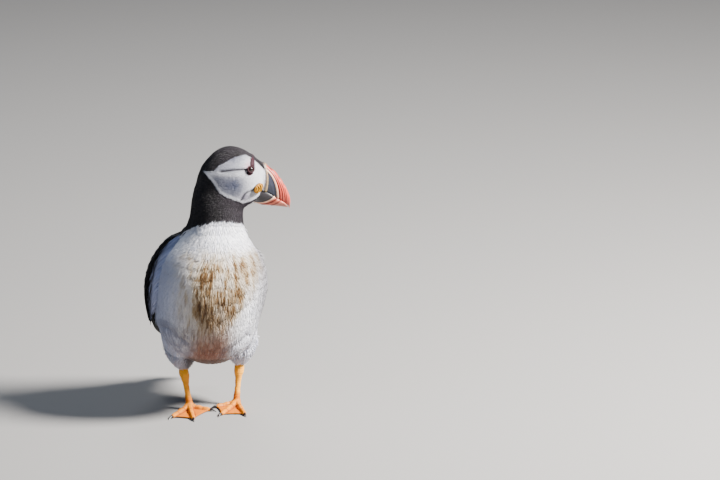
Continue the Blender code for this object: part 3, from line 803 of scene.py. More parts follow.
        # Painted shade down both flanks, where the body turns from the lamps: bluish on the bird's right
        # side, grey on its left.
        edge = np.where(side > 0, 0.95 * smoothstep(up, 62, 92), 0.7)
        edge = edge * smoothstep(np.abs(side + 2), 25, 47) * smoothstep(up, 170, 150)
        flank_shade_colour = lerp(PALETTE.shadow_white, PALETTE.flank_shade_grey, smoothstep(side, -5, 5))
        colour = lerp(colour, flank_shade_colour, edge)
        dirt = spot(side, up, (-10, 90), (25, 27), (4, 4)) * smoothstep(ahead, 2, 20)
        colour = colour * PALETTE.dirt ** (dirt * (0.65 + 0.9 * strands))[:, None]
        colour = colour * PALETTE.stain ** self.stain_share(body)[:, None]
        colour = colour * PALETTE.rust ** self.rust_share(body)[:, None]
        return self.thigh_tones(body, colour)

    def thigh_tones(self, body: Array, colour: Array) -> Array:
        """The body's colour under the painted shade of the creases, flanks and thighs and of the belly's
        underside.

        Args:
            body: places in the body's frame.
            colour: the colour there so far.

        Returns:
            The colour with these laid over it.
        """
        side, ahead, up = body.T
        # Painted shade in the creases between the belly and the thighs.
        creases = [bump(distance_to_line(body[:, [0, 2]], line), 0, 3.0) for line in self.thigh_folds]
        colour = lerp(colour, PALETTE.crease_shade_grey, np.maximum(*creases) * 0.35 * smoothstep(ahead, 0, 14))
        # Painted shade on the lower flanks towards the back.
        rear_shade = smoothstep(ahead, -14, -30) * bump(up, 66, 14) * smoothstep(np.abs(side), 8, 16)
        colour = lerp(colour, PALETTE.crease_shade_grey, rear_shade)
        slanting = np.stack([side + 0.5 * up, ahead, up - 0.5 * side], axis=1)
        wisps = noise(slanting / (1.2, 1.6, 9.0), 18)
        # Painted shade in wisps on the bird's right thigh, the side away from the key lamp.
        right_thigh_shade = smoothstep(side, -17, -31) * smoothstep(up, 100, 76)
        right_thigh_shade = right_thigh_shade * smoothstep(wisps, 0.85, 0.3) * smoothstep(ahead, -16, 8)
        colour = lerp(colour, PALETTE.thigh_shade, 0.60 * right_thigh_shade)
        # Painted shade in the hollow low on the inner side of the bird's left thigh.
        inner = spot(side, up, (16, 54), (7, 8)) * smoothstep(ahead, -12, 0)
        colour = lerp(colour, PALETTE.inner_thigh_shade, 0.95 * inner * smoothstep(wisps, 0.75, 0.35))
        # Painted shade under the belly, low between the legs.
        underside_shade = smoothstep(up, 59, 50) * smoothstep(np.abs(side + 5), 22, 14) * smoothstep(ahead, -30, -10)
        return lerp(colour, PALETTE.belly_underside_shade, underside_shade * 0.8)

    def black_colour(self, body: Array) -> Array:
        """Brownish black of the head and neck, bluer on the back, with painted sheen and painted shade."""
        side, _, up = body.T
        # Painted sheen: lighter patches at random over the upper hood, and more of it on the front of the
        # neck, which faces the key lamp.
        sheen = noise(body / 3.0, 17) * 0.34 + 0.4 * smoothstep(side, 2, 30) * smoothstep(up, 214, 198)
        dark = lerp(PALETTE.hood, PALETTE.hood_painted_sheen, sheen * smoothstep(up, 150, 190))
        # Painted shade: the back of the head and neck, away from the key lamp, is darkened.
        dark = dark * (0.36 + 0.64 * smoothstep(side, -17, 16))[:, None]
        return lerp(dark, PALETTE.mantle, smoothstep(up, 182, 160))

    def colour(self, places: Array) -> Array:
        """The plumage's colour at places of the world."""
        body, head = TORSO.local(places), HEAD.local(places)
        colour = lerp(self.black_colour(body), self.body_colour(body), self.whiteness(body))
        near_head = smoothstep(head[:, 2], -40, -34) * smoothstep(np.linalg.norm(head[:, :2], axis=1), 60, 52)
        return lerp(colour, self.face_colour(head), self.face_share(head) * near_head)


MARKINGS = Markings()


# ---- Skin and coat ----


@dataclass
class Unwrap:
    """The OFBake map: places on an unwrap of a coarse copy of the skin."""

    source: Mesh
    share: float = 0.06
    tree: BVHTree = field(init=False)
    corners: Array = field(init=False)
    maps: Array = field(init=False)

    def __post_init__(self) -> None:
        """Coarsens, unwraps and remembers the skin."""
        holder = link(bpy.data.objects.new("unwrap", self.source.copy()))
        coarse = holder.modifiers.new("Coarse", "DECIMATE")
        coarse.ratio, coarse.use_collapse_triangulate = self.share, True
        bpy.context.view_layer.update()
        mesh = evaluated(holder)
        bpy.data.objects.remove(holder)
        holder = link(bpy.data.objects.new("unwrap", mesh))
        bpy.context.view_layer.objects.active = holder
        holder.select_set(True)
        bpy.ops.object.mode_set(mode="EDIT")
        bpy.ops.mesh.select_all(action="SELECT")
        bpy.ops.uv.smart_project(angle_limit=math.radians(60), island_margin=0.006)
        bpy.ops.object.mode_set(mode="OBJECT")
        index = corner_vertices(mesh)
        uv = np.empty(len(mesh.loops) * 2)
        mesh.uv_layers[0].data.foreach_get("uv", uv)
        places = vertex_places(mesh)
        self.corners = places[index.reshape(-1, 3)]
        self.maps = uv.reshape(-1, 3, 2)
        self.tree = BVHTree.FromPolygons(places.tolist(), index.reshape(-1, 3).tolist())
        bpy.data.objects.remove(holder)

    def at(self, places: Array) -> Array:
        """The map's places for points near the skin."""
        faces = np.array([self.tree.find_nearest(p)[2] for p in places.tolist()])
        a, b, c = (self.corners[faces, i] for i in range(3))
        ab, ac, ap = b - a, c - a, places - a
        d00, d01, d11 = (np.sum(u * v, 1) for u, v in ((ab, ab), (ab, ac), (ac, ac)))
        d20, d21 = np.sum(ap * ab, 1), np.sum(ap * ac, 1)
        scale = np.maximum(d00 * d11 - d01 * d01, 1e-24)
        v, w = (d11 * d20 - d01 * d21) / scale, (d00 * d21 - d01 * d20) / scale
        weights = np.clip(np.stack([1 - v - w, v, w], axis=1), 0, 1)
        weights /= weights.sum(axis=1, keepdims=True)
        return np.einsum("ij,ijk->ik", weights, self.maps[faces])


@dataclass
class Skin:
    """One skin over head, neck, trunk and thighs, which carries the coat."""

    nodes: tuple[str, ...] = ("head", "neck", "trunk", "thigh_left", "thigh_right")
    under: tuple[str, ...] = ("bill_cere",)  # fused in as well, so that the skin runs on under the cere
    gap: float = 0.3
    voxel: float = 1.1
    smoothing: int = 14
    face_depth: float = 0.55
    hood_depth: float = 0.9
    body_depth: float = 1.35
    mesh: Mesh = field(init=False)
    places: Array = field(init=False)
    normals: Array = field(init=False)

    def build(self) -> "Skin":
        """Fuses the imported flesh, sinks it by the coat's depth and presses in its folds."""
        parts = [merged_node(name) for name in self.nodes + self.under]
        for part in parts:
            swell(part, self.gap * MM)
        self.mesh = fused(parts, self.voxel * MM, self.smoothing)
        places = vertex_places(self.mesh)
        raise_vertices(self.mesh, -(self.gap + self.depth(places) + self.folds(places)))
        self.places, self.normals = vertex_places(self.mesh), vertex_normals(self.mesh)
        paint(self.mesh, MARKINGS.colour(self.places) * 0.8)
        return self

    def depth(self, places: Array) -> Array:
        """The coat's depth over places of the skin, in millimetres."""
        head = HEAD.local(places)
        on_head = smoothstep(head[:, 2], -58, -34)
        face = MARKINGS.face_share(head) * smoothstep(head[:, 2], -38, -33)
        depth = self.body_depth + (self.hood_depth - self.body_depth) * on_head
        return depth + (self.face_depth - depth) * face

    def folds(self, places: Array) -> Array:
        """How deep grooves of the face and overlaps of the breast are pressed in, in millimetres."""
        head, body = HEAD.local(places), TORSO.local(places)
        flat = head[:, [0, 2]]
        near = smoothstep(np.abs(head[:, 1]), 5, 9) * smoothstep(head[:, 2], -40, -36)
        pressed = 0.8 * bump(distance_to_line(flat, MARKINGS.eye_groove), 0, 1.6)
        pressed += 0.6 * bump(distance_to_line(flat, MARKINGS.jaw_groove), 0, 1.3)
        pressed = pressed * near
        front = smoothstep(body[:, 1], 20, 32)
        line = np.asarray(MARKINGS.breast_fold)
        level = np.interp(body[:, 0], line[::-1, 0], line[::-1, 1])
        over = body[:, 2] - level
        reach = smoothstep(body[:, 0], -12, -4) * smoothstep(body[:, 0], 30, 22)
        creases = [bump(distance_to_line(body[:, [0, 2]], crease), 0, 4.0) for crease in MARKINGS.thigh_folds]
        pressed += 1.1 * np.maximum(*creases) * smoothstep(body[:, 1], 0, 14)
        step = 0.6 * bump(over, -4.0, 5.0) - 0.5 * bump(over, 5.0, 6.0)
        return pressed + step * front * reach

    def dress(self) -> None:
        """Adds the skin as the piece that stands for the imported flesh."""
        map_for_baking(self.mesh, self.unwrap.at(self.places))
        add_piece("skin", self.mesh, SKIN_FINISH, self.nodes)

    @cached_property
    def unwrap(self) -> Unwrap:
        """The map of the skin, made once."""
        return Unwrap(self.mesh)

    @cached_property
    def tree(self) -> BVHTree:
        """The skin's faces, to cast rays at."""
        return BVHTree.FromPolygons(self.places.tolist(), [tuple(p.vertices) for p in self.mesh.polygons])

    def height_over(self, places: Array) -> Array:
        """How far over the skin places stand, below zero for those inside it, in metres."""
        heights = np.zeros(len(places))
        for k, place in enumerate(places):
            near, normal, _, _ = self.tree.find_nearest(place)
            heights[k] = (Vector(place) - near).dot(normal)
        return heights

    def at_bearing(self, side: Side, angle: float, height: float) -> tuple[Array, Array]:
        """Where the skin is met from outside at an angle round the body and a height.

        Args:
            side: the bird's side.
            angle: degrees from straight ahead.
            height: over the floor, in millimetres.

        Returns:
            The place and the normal there, in the world.
        """
        turn = math.radians(angle)
        way = np.array([math.sin(turn) * side.value, math.cos(turn), 0.0])
        start = TORSO.world(way * 120 + (2.0, 2.0, height))
        place, normal, _, _ = self.tree.ray_cast(Vector(start), Vector(TORSO.turn(-way)))
        if place is None:
            raise ValueError(f"no skin at {angle} degrees and {height} mm")
        return np.array(place), np.array(normal)

    def sow(self, spacing: float, here: Callable[[Array], Array], seed: int) -> tuple[Array, Array]:
        """Scatters roots over part of the skin, one in each cell of a lattice.

        Args:
            spacing: sets the lattice's cell, in millimetres.
            here: says for places whether roots may stand there.
            seed: for the random choice.

        Returns:
            The roots and their normals.
        """
        rng = np.random.default_rng(seed)
        self.mesh.calc_loop_triangles()
        triangles = np.empty(len(self.mesh.loop_triangles) * 3, np.int32)
        self.mesh.loop_triangles.foreach_get("vertices", triangles)
        triangles = triangles.reshape(-1, 3)
        corners = self.places[triangles]
        triangles = triangles[here(corners.mean(axis=1))]
        corners = self.places[triangles]
        edges = corners[:, 1:] - corners[:, :1]
        area = np.linalg.norm(np.cross(edges[:, 0], edges[:, 1]), axis=1) / 2
        tries = 5  # for each square of this spacing
        count = int(area.sum() / (spacing * MM) ** 2 * tries)
        pick = rng.choice(len(area), count, p=area / area.sum())
        share = rng.random((count, 2))
        share = np.where(share.sum(axis=1, keepdims=True) > 1, 1 - share, share)
        weights = np.column_stack([1 - share.sum(axis=1), share])[:, :, None]
        roots = (corners[pick] * weights).sum(axis=1)
        normals = unit((self.normals[triangles[pick]] * weights).sum(axis=1))
        cells = np.floor(roots / (spacing * 1.15 * MM)).astype(np.int64)
        _, first = np.unique(cells, axis=0, return_index=True)
        first.sort()
        return roots[first], normals[first]


def lie_of_coat(places: Array, normals: Array) -> Array:
    """The direction in which the plumage lies: back from the bill, then down and back.

    Args:
        places: roots in the world.
        normals: the skin's normals there.

    Returns:
        Unit directions along the skin.
    """
    body, head = TORSO.local(places), HEAD.local(places)
    sideways = 0.12 * np.clip(body[:, 0] / 30, -1, 1)
    down = np.column_stack([sideways, np.full(len(places), -0.5), np.full(len(places), -1.0)])
    back = unit(head - BILL_ROOT) + (-0.25, 0.0, -0.1)
    on_head = smoothstep(head[:, 2], -56, -30) * smoothstep(head[:, 0], -62, -40)
    way = lerp(unit(TORSO.turn(down)), unit(HEAD.turn(back)), on_head)
    way -= normals * np.sum(way * normals, axis=1, keepdims=True)
    return unit(way)


@dataclass(frozen=True)
class Tufts:
    """One kind of small feather: closed slivers that lie along the skin."""

    name: str
    spacing: float
    length: float
    width: float
    rise: float  # how far the tip stands over the root, in millimetres
    spread: float = 0.22  # radians by which the lie varies
    thickness: float = 0.22  # by width
    bare_root: float = 0.72  # the root's tone by the tip's
    mottle: float = 0.16  # how far feathers differ in tone
    sag_limit: float = 2.4  # a tip that would hang further over the skin, or under it, is cut short
    stations: tuple[Triple, ...] = (
        (0.0, 0.55, 0.0), (0.42, 1.0, 0.85), (0.78, 0.72, 1.05),
    )  # along, width, rise

    def grow(self, skin: Skin, here: Callable[[Array], Array], seed: int, limit: int = 12200) -> int:
        """Grows this coat over part of the skin, in pieces of a bounded size.

        Args:
            skin: the skin that it stands on.
            here: says for places whether a feather may grow there.
            seed: for its random choices.
            limit: most feathers in one piece.

        Returns:
            The number of feathers.
        """
        roots, normals = skin.sow(self.spacing, here, seed)
        order = np.argsort(-roots[:, 2])
        roots, normals = roots[order], normals[order]
        parts = math.ceil(len(roots) / limit)
        for part, chosen in enumerate(np.array_split(np.arange(len(roots)), parts)):
            rng = np.random.default_rng(seed + 100 + part)
            mesh = self.mesh(skin, roots[chosen], normals[chosen], rng)
            add_piece(f"{self.name}_{part + 1}", mesh, COAT_FINISH)
        return len(roots)

    def mesh(self, skin: Skin, roots: Array, normals: Array, rng: Random) -> Mesh:
        """The slivers of one piece as one mesh.

        Args:
            skin: the skin that they lie along.
            roots: where they stand.
            normals: the skin's normals.
            rng: source of their variety.

        Returns:
            The mesh, painted from root to tip.
        """
        count, maps = len(roots), skin.unwrap.at(roots)
        size = (0.8 + 0.4 * rng.random(count)) * self.shortening(roots)
        way = turned(lie_of_coat(roots, normals), normals, rng.normal(0, self.spread, count))
        across = np.cross(normals, way)
        length = (self.length * size * MM)[:, None]
        rise = (self.rise * (0.6 + 0.8 * rng.random(count)) * MM)[:, None]
        half = (self.width / 2 * (0.85 + 0.3 * rng.random(count)) * np.sqrt(size) * MM)[:, None]
        sag = skin.height_over(roots + way * length)[:, None]
        hanging = np.abs(sag) > self.sag_limit * MM
        length = length * np.where(hanging, 0.3, 1.0)
        sag = np.where(hanging, 0.0, np.maximum(sag, -0.6 * MM))
        rings, cross_maps = [], []
        for along, broad, height in self.stations:
            middle = roots + way * length * along + normals * (rise * height - 0.1 * MM * (along == 0))
            middle -= normals * sag * along**2
            ridge = middle + normals * half * 2 * self.thickness * broad
            rings += [middle - across * half * broad, middle + across * half * broad, ridge]
            cross_maps += [(-0.5, along - 0.5), (0.5, along - 0.5), (0.0, along - 0.5)]
        rings.append(roots + way * length + normals * (rise - sag))
        cross_maps.append((0.0, 0.5))
        places = np.stack(rings, axis=1)
        uv = maps[:, None] + np.array(cross_maps) * 0.003
        tip = MARKINGS.colour(roots + way * length * 0.8)
        tone = (1 - self.mottle / 2 + self.mottle * rng.random(count))[:, None, None]
        along = np.array([v + 0.5 for _, v in cross_maps])
        fade = self.bare_root + (1 - self.bare_root) * np.minimum(along * 1.6, 1)
        colours = tip[:, None] * fade[None, :, None] * tone
        face = self.faces()
        faces = face[None] + np.where(face >= 0, places.shape[1], 0)[None] * np.arange(count)[:, None, None]
        mesh = mesh_from_arrays(places.reshape(-1, 3), faces.reshape(-1, 4), uv.reshape(-1, 2))
        paint(mesh, np.clip(colours.reshape(-1, 3), 0, 1))
        return mesh

    def faces(self) -> Array:
        """Corners of one sliver, where -1 ends a triangle."""
        rows = [(0, 2, 1, -1)]
        for ring in (0, 3):
            for a, b in ((0, 1), (1, 2), (2, 0)):
                rows.append((ring + a, ring + b, ring + 3 + b, ring + 3 + a))
        rows += [(6 + a, 6 + b, 9, -1) for a, b in ((0, 1), (1, 2), (2, 0))]
        return np.array(rows)

    def shortening(self, roots: Array) -> Array:
        """Feathers get shorter towards the bill and round the eye."""
        head = HEAD.local(roots)
        to_bill = np.linalg.norm((head - BILL_ROOT) * (1, 0.4, 0.8), axis=1)
        near = smoothstep(head[:, 2], -45, -36)
        to_eye = np.linalg.norm(head[:, [0, 2]] - np.array(EYES_OVER_HEAD)[[0, 2]], axis=1)
        short = np.clip(0.45 + to_bill / 30, 0, 1) * np.clip(0.5 + to_eye / 16, 0, 1)
        return 1 - near * (1 - short)


@dataclass
class Plumage:
    """The coat of small feathers over the whole skin."""

    # spacing, length, width and rise; spread, thickness, bare root and mottle
    face: Tufts = Tufts("face_feathers", 0.47, 2.4, 0.40, 0.15, 0.13, 0.12, 0.97, 0.04)
    hood: Tufts = Tufts("hood_feathers", 0.74, 3.4, 0.60, 0.45, 0.11, 0.22, 0.85, 0.16)
    breast: Tufts = Tufts("breast_feathers", 0.76, 8.6, 0.80, 0.27, 0.09, 0.05, 0.98, 0.05)
    mantle: Tufts = Tufts("mantle_feathers", 1.25, 7.5, 1.9, 1.1, 0.14, 0.14, 0.8, 0.3)
    thigh: Tufts = Tufts("thigh_feathers", 0.74, 12.5, 0.44, 2.3, 0.26, 0.12, 0.88, 0.46)
    bare: tuple[tuple[str, float], ...] = (
        ("eye", 3.6), ("rosette", 4.2), ("brow_plate", 1.0), ("cheek_plate", 1.2),
    )  # node, radius
    collar: float = 168.0  # height at which the neck's feathers meet the back's

    def clear_of_bare(self, places: Array) -> Array:
        """True away from the eyes, their plates and the rosettes."""
        head = HEAD.local(places)
        clear = (distance_to_line(head[:, [0, 2]], MARKINGS.brow_line) > 0.8) | (np.abs(head[:, 1]) < 7)
        for side in Side:
            for node, radius in self.bare:
                middle = node_places(side.named(node)).mean(axis=0)
                clear &= np.linalg.norm(places - middle, axis=1) > radius * MM
        return clear

    def behind_bill(self, places: Array) -> Array:
        """True behind the bill's root, and everywhere below the head."""
        head = HEAD.local(places)
        return (past_root(head) < 13.2) | (head[:, 2] < -36)

    def on_pale_face(self, places: Array) -> Array:
        """True on the pale face, bare parts and all."""
        head = HEAD.local(places)
        return MARKINGS.face_share(head) * (head[:, 2] > -40) > 0.5

    def grow(self, skin: Skin) -> None:
        """Covers the skin in five kinds of feather."""

        def on_face(places: Array) -> Array:
            """True on the pale face."""
            return self.on_pale_face(places) & self.clear_of_bare(places) & self.behind_bill(places)

        def above_collar(places: Array) -> Array:
            """True on the black of the head and neck."""
            body = TORSO.local(places)
            black = (MARKINGS.whiteness(body) <= 0.5) & (body[:, 2] > self.collar)
            return black & ~self.on_pale_face(places) & self.clear_of_bare(places) & self.behind_bill(places)

        def on_breast(places: Array) -> Array:
            """True on the white of the body and on the thighs."""
            return MARKINGS.whiteness(TORSO.local(places)) > 0.5

        def on_mantle(places: Array) -> Array:
            """True on the black of the back."""
            body = TORSO.local(places)
            return (MARKINGS.whiteness(body) <= 0.5) & (body[:, 2] <= self.collar)

        def on_thigh(places: Array) -> Array:
            """True low on the thighs."""
            body = TORSO.local(places)
            near = np.minimum(*(np.linalg.norm(body[:, :2] - ANKLES[side][:2], axis=1) for side in Side))
            return (body[:, 2] < 64) & (near < 17)

        areas = ((self.face, on_face), (self.hood, above_collar), (self.breast, on_breast),
                 (self.mantle, on_mantle), (self.thigh, on_thigh))
        for seed, (tufts, here) in enumerate(areas, start=3):
            LOG.info("%s: %d feathers", tufts.name, tufts.grow(skin, here, seed))


# ---- Large feathers ----


@dataclass
class Vanes:
    """A joined mesh of large feathers, each a closed cambered blade with a raised shaft."""

    name: str
    stations: int = 9
    tip_start: float = 0.62  # share of its length at which a feather starts to narrow
    rings: list[Array] = field(default_factory=list)
    colours: list[Array] = field(default_factory=list)
    maps: list[Array] = field(default_factory=list)

    def add(self, path: Array, normals: Array, half: float, colour: Array, edge: Array, uv: Array,
            camber: float = 0.22) -> None:
        """Adds one feather.

        Args:
            path: its shaft, station by station, in metres.
            normals: outward directions along it.
            half: its half width in millimetres.
            colour: of its middle.
            edge: of its rim and tip.
            uv: its place on the OFBake map.
            camber: drop of its edges by its half width.
        """
        count = len(path)
        t = np.linspace(0, 1, count)
        ahead = unit(np.gradient(path, axis=0))
        across = unit(np.cross(normals, ahead))
        out = np.cross(ahead, across)
        in_tip = (t - self.tip_start) / (1 - self.tip_start)
        shape = np.where(t < self.tip_start, 1.0, np.sqrt(np.clip(1 - in_tip**2, 0, 1)))
        shape = shape * (0.35 + 0.65 * smoothstep(t, -0.05, 0.3))
        wide = (np.maximum(shape, 0.03) * half * MM)[:, None]
        drop = out * wide * camber
        shaft = out * (0.16 + 0.05 * half) * MM * (1 - 0.7 * t)[:, None]
        left, right = path - across * wide - drop, path + across * wide - drop
        self.rings.append(np.stack([left, path + shaft, right, path - shaft * 0.4 - drop * 0.3], axis=1))
        rim = np.clip(0.25 + 0.75 * smoothstep(t, 0.8, 1.0), 0, 1)
        outer, inner = lerp(colour, edge, rim * 0.9), lerp(colour, edge, rim * 0.35)
        self.colours.append(np.stack([outer, inner, outer, inner], axis=1))
        spread = np.broadcast_to((-0.5, 0.0, 0.5, 0.0), (count, 4))
        along = np.broadcast_to(t[:, None] - 0.5, (count, 4))
        self.maps.append(uv + np.stack([spread, along], axis=2) * 0.003)

    def faces(self) -> Array:
        """Corners of one blade."""
        rows = [(3, 2, 1, 0)]
        for k in range(self.stations - 1):
            for a, b in ((0, 1), (1, 2), (2, 3), (3, 0)):
                rows.append((4 * k + a, 4 * k + b, 4 * k + 4 + b, 4 * k + 4 + a))
        last = 4 * (self.stations - 1)
        return np.array(rows + [(last, last + 1, last + 2, last + 3)])

    def mesh(self) -> Mesh:
        """All the blades as one mesh."""
        count = len(self.rings)
        places = np.concatenate([r.reshape(-1, 3) for r in self.rings])
        faces = self.faces()[None] + (4 * self.stations) * np.arange(count)[:, None, None]
        uv = np.concatenate([m.reshape(-1, 2) for m in self.maps])
        mesh = mesh_from_arrays(places, faces.reshape(-1, 4), uv)
        paint(mesh, np.concatenate([c.reshape(-1, 3) for c in self.colours]))
        return mesh

    def dress(self, slot: str) -> None:
        """Adds the feathers as one piece."""
        add_piece(self.name, self.mesh(), COAT_FINISH)
        LOG.info("%s: %d feathers", self.name, len(self.rings))


def flat_tube(surface: Callable[[float, int], Array], shares: Array) -> Array:
    """Rings round a thin form that has an upper and a lower face.

    Args:
        surface: gives a section's points at a share along, 1 for the upper face and -1 for the lower.
        shares: where the sections stand.

    Returns:
        Points by ring, place in the ring and axis.
    """
    return np.array([np.concatenate([surface(s, 1), surface(s, -1)[-2:0:-1]]) for s in shares])


def add_core(name: str, rings: Array, finish: PaintedFinish, replaces: Iterable[str]) -> None:
    """Adds the dark form under a wing's or the tail's feathers."""
    core = skinned(rings)
    paint(core, np.tile(PALETTE.mantle * 0.7, (len(core.vertices), 1)))
    add_piece(name, core, finish, replaces)


@dataclass
class FoldedWing:
    """One folded wing: a dark core under coverts, secondaries and primaries."""

    side: Side
    skin: Skin
    table: tuple[tuple[float, ...], ...] = (
        (29.5, -15.0, 158.6, 16.0, 2.6, -0.55, -0.82, 0.10, 0.10),
        (39.2, -18.0, 147.0, 36.0, 5.2, -0.52, -0.85, 0.08, 0.16),
        (46.8, -22.5, 130.8, 50.0, 7.0, -0.46, -0.88, 0.08, 0.20),
        (49.8, -26.5, 113.0, 54.0, 7.4, -0.42, -0.90, 0.12, 0.20),
        (47.2, -34.0, 96.5, 48.0, 6.8, -0.43, -0.82, 0.36, 0.18),
        (40.6, -46.5, 82.0, 38.0, 5.8, -0.46, -0.68, 0.57, 0.14),
        (31.6, -61.5, 68.0, 27.0, 4.6, -0.48, -0.54, 0.69, 0.10),
        (21.6, -76.0, 53.6, 15.5, 3.0, -0.50, -0.42, 0.76, 0.06),
        (15.0, -87.0, 43.6, 5.0, 1.6, -0.50, -0.38, 0.78, 0.03),
    )  # middle, breadth, thickness, way to the trailing edge, curl
    left_shift: Triple = (-4.5, -4.5, 0.0)  # the left wing is held closer
    core_share: float = 0.72  # the core's thickness by the wing's
    coverts: tuple[tuple[float, float, int, float, float], ...] = (
        (0.02, 0.32, 9, 12.0, 3.0), (0.32, 0.52, 5, 17.0, 4.2),
    )  # from, to, rows, length, half width
    flank_span: Pair = (0.04, 0.50)  # along the wing
    flank_count: int = 76
    flank_rows: tuple[Pair, ...] = (
        (-0.86, 1.0), (-0.90, 3.0), (-0.94, 5.0), (-0.97, 8.0),
    )  # where the tips lie across the wing, degrees from its edge to the roots

    def sections(self, along: Array) -> tuple[Array, Array, Array, Array, Array, Array]:
        """Middle, way back, way out, breadth, thickness and curl of the wing's sections."""
        row = curve_through(self.table)
        here, ahead = row(along), row(np.minimum(along + 0.01, 1)) - row(np.maximum(along - 0.01, 0))
        back = unit(here[:, 5:8])
        out = unit(np.cross(back, ahead[:, :3]))
        out = out * np.sign(out[:, :1])
        return here[:, :3], back, out, here[:, 3], here[:, 4], here[:, 8]

    def settle(self, places: Array) -> Array:
        """From the table's coordinates to the world, on this wing's side."""
        places = places.copy()
        places[..., 0] *= self.side.value
        if self.side is Side.LEFT:
            places += self.left_shift
        return TORSO.world(places)

    def surface(self, along: Array, across: Array, lift: Array | float,
                thick: float = 1.0) -> tuple[Array, Array]:
        """Places on the outer face and their outward directions.

        Args:
            along: 0 at the shoulder to 1 at the tip; beyond 1 runs on straight.
            across: -1 at the leading edge to 1 at the trailing edge.
            lift: height over the face, in millimetres.
            thick: share of the thickness.

        Returns:
            World places and unit directions.
        """
        middle, back, out, breadth, thickness, curl = self.sections(np.clip(along, 0, 1))
        reach = across * breadth / 2
        dome = thickness / 2 * thick * np.sqrt(np.clip(1 - across**2, 0, 1))
        height = dome - curl * breadth * across**2 + lift
        places = middle + back * reach[:, None] + out * np.asarray(height)[:, None]
        end = curve_through(self.table)(np.array([0.97, 1.0]))[:, :3]
        places += (end[1] - end[0]) / 0.03 * np.maximum(along - 1, 0)[:, None]
        outward = self.settle(places + out) - self.settle(places)
        return self.settle(places), unit(outward)

    def core(self) -> None:
        """Adds the closed body that the feathers lie on."""
        points = 15
        spread = -np.cos(np.linspace(0, math.pi, points)) * 0.96

        def section(share: float, face: int) -> Array:
            """One face's points across the wing."""
            return self.surface(np.full(points, share), spread, 0.0, face * self.core_share)[0]

        rings = flat_tube(section, np.linspace(0.0, 0.985, 46))
        nodes = (self.side.named("wing"), self.side.named("wing_tip"))
        add_core(self.side.named("wing_core"), rings, WING_CORE_FINISH, nodes)

    def feather(self, vanes: Vanes, start: Pair, end: Pair, half: float, lifts: Pair, tone: float) -> None:
        """Lays one feather from one place of the wing to another.

        Args:
            vanes: the mesh that takes it.
            start: its root along and across.
            end: its tip along and across.
            half: its half width.
            lifts: height over the wing at root and tip.
            tone: its brightness.
        """
        t = np.linspace(0, 1, vanes.stations)
        along, across = (start[i] + (end[i] - start[i]) * t for i in (0, 1))
        lift = lifts[0] + (lifts[1] - lifts[0]) * t
        path, out = self.surface(along, across, lift, 0.8)
        uv = self.skin.unwrap.at(path[:1])[0]
        colour = PALETTE.mantle * tone
        vanes.add(path, out, half, colour, colour * 1.5 + PALETTE.worn_edge * 0.35, uv)

    def drape(self, vanes: Vanes, angle: float, height: float, end: Pair, half: float, lift: float,
              colour: Array) -> None:
        """Lays one feather from the body over the wing.

        Args:
            vanes: the mesh that takes it.
            angle: its root's degrees from straight ahead round the body.
            height: its root's height.
            end: its tip along and across the wing.
            half: its half width.
            lift: height of its tip over the wing.
            colour: of the whole feather.
        """
        root, normal = self.skin.at_bearing(self.side, angle, height)
        along = np.array([max(end[0] - 0.07, 0.0), end[0]])
        path, out = self.surface(along, np.array([end[1], end[1]]), lift)
        t = np.linspace(0, 1, vanes.stations)[:, None]
        line = root * (1 - t) ** 2 + path[0] * 2 * t * (1 - t) + path[1] * t * t
        line = line + normal * MM * 0.2 * 4 * t * (1 - t)
        uv = self.skin.unwrap.at(root[None])[0]
        vanes.add(line, lerp(normal[None], out[1:], t[:, 0]), half, colour, colour * 1.06, uv)

    def scapulars(self, vanes: Vanes, rng: Random) -> None:
        """Black feathers of the shoulder, which hide where the wing leaves the body."""
        rows, count = 9, 9
        first = 4 if self.side is Side.LEFT else 1
        for row in range(rows):
            for n in range(first, count):
                share = (n + 0.5 * (row % 2) + 0.25) / count
                end = (0.44 - 0.045 * row, -0.50 + 1.4 * share)
                angle, height = 100 + 70 * share, 142 + 2.3 * row
                colour = PALETTE.mantle * (0.85 + 0.3 * rng.random())
                self.drape(vanes, angle, height, end, 3.4, 0.55 + 0.04 * row, colour)

    def flank(self, vanes: Vanes, rng: Random) -> None:
        """White feathers of the flank, in painted shade, which lie over the wing's leading edge."""
        first, last = self.flank_span
        for reach, inset in self.flank_rows:
            for n in range(self.flank_count):
                along = first + (last - first) * (n + rng.random() * 0.8) / self.flank_count
                edge = TORSO.local(self.surface(np.array([along]), np.array([-1.0]), 0.0)[0])
                angle = float(MARKINGS.axis_angle(edge)[0]) - inset - 4 * rng.random()
                height = float(edge[0, 2]) + 8 + 6 * rng.random()
                # Painted shade: these white feathers take the bluish shaded whites of the flank.
                colour = lerp(PALETTE.shadow_white, PALETTE.shaded_white, rng.random() * 0.6)
                end = (along + 0.04 + 0.04 * rng.random(), max(reach + 0.06 * rng.random(), -1.0))
                self.drape(vanes, angle, height, end, 1.15, 0.3 + 0.3 * rng.random(), colour)

    def primaries(self, vanes: Vanes) -> None:
        """The long feathers of the wing's tip."""
        count = 9
        for n in range(count):
            root, tip = (0.50 + 0.03 * n, 0.55 - 0.16 * n), (1.03 - 0.045 * (count - 1 - n), 0.1 - 0.05 * n)
            tone = 0.9 + 0.25 * (n / (count - 1))
            self.feather(vanes, root, tip, 3.6, (0.1 + 0.08 * n, 0.2 + 0.1 * n), tone)

    def secondaries(self, vanes: Vanes, rng: Random) -> None:
        """The feathers of the trailing edge."""
        for n in range(12):
            across = 0.95 - 0.14 * n
            root, tip = (0.40 + 0.004 * n, across), (0.76 - 0.012 * n, across - 0.02)
            self.feather(vanes, root, tip, 3.9, (0.3 + 0.03 * n, 0.5 + 0.04 * n), 0.95 + 0.2 * rng.random())

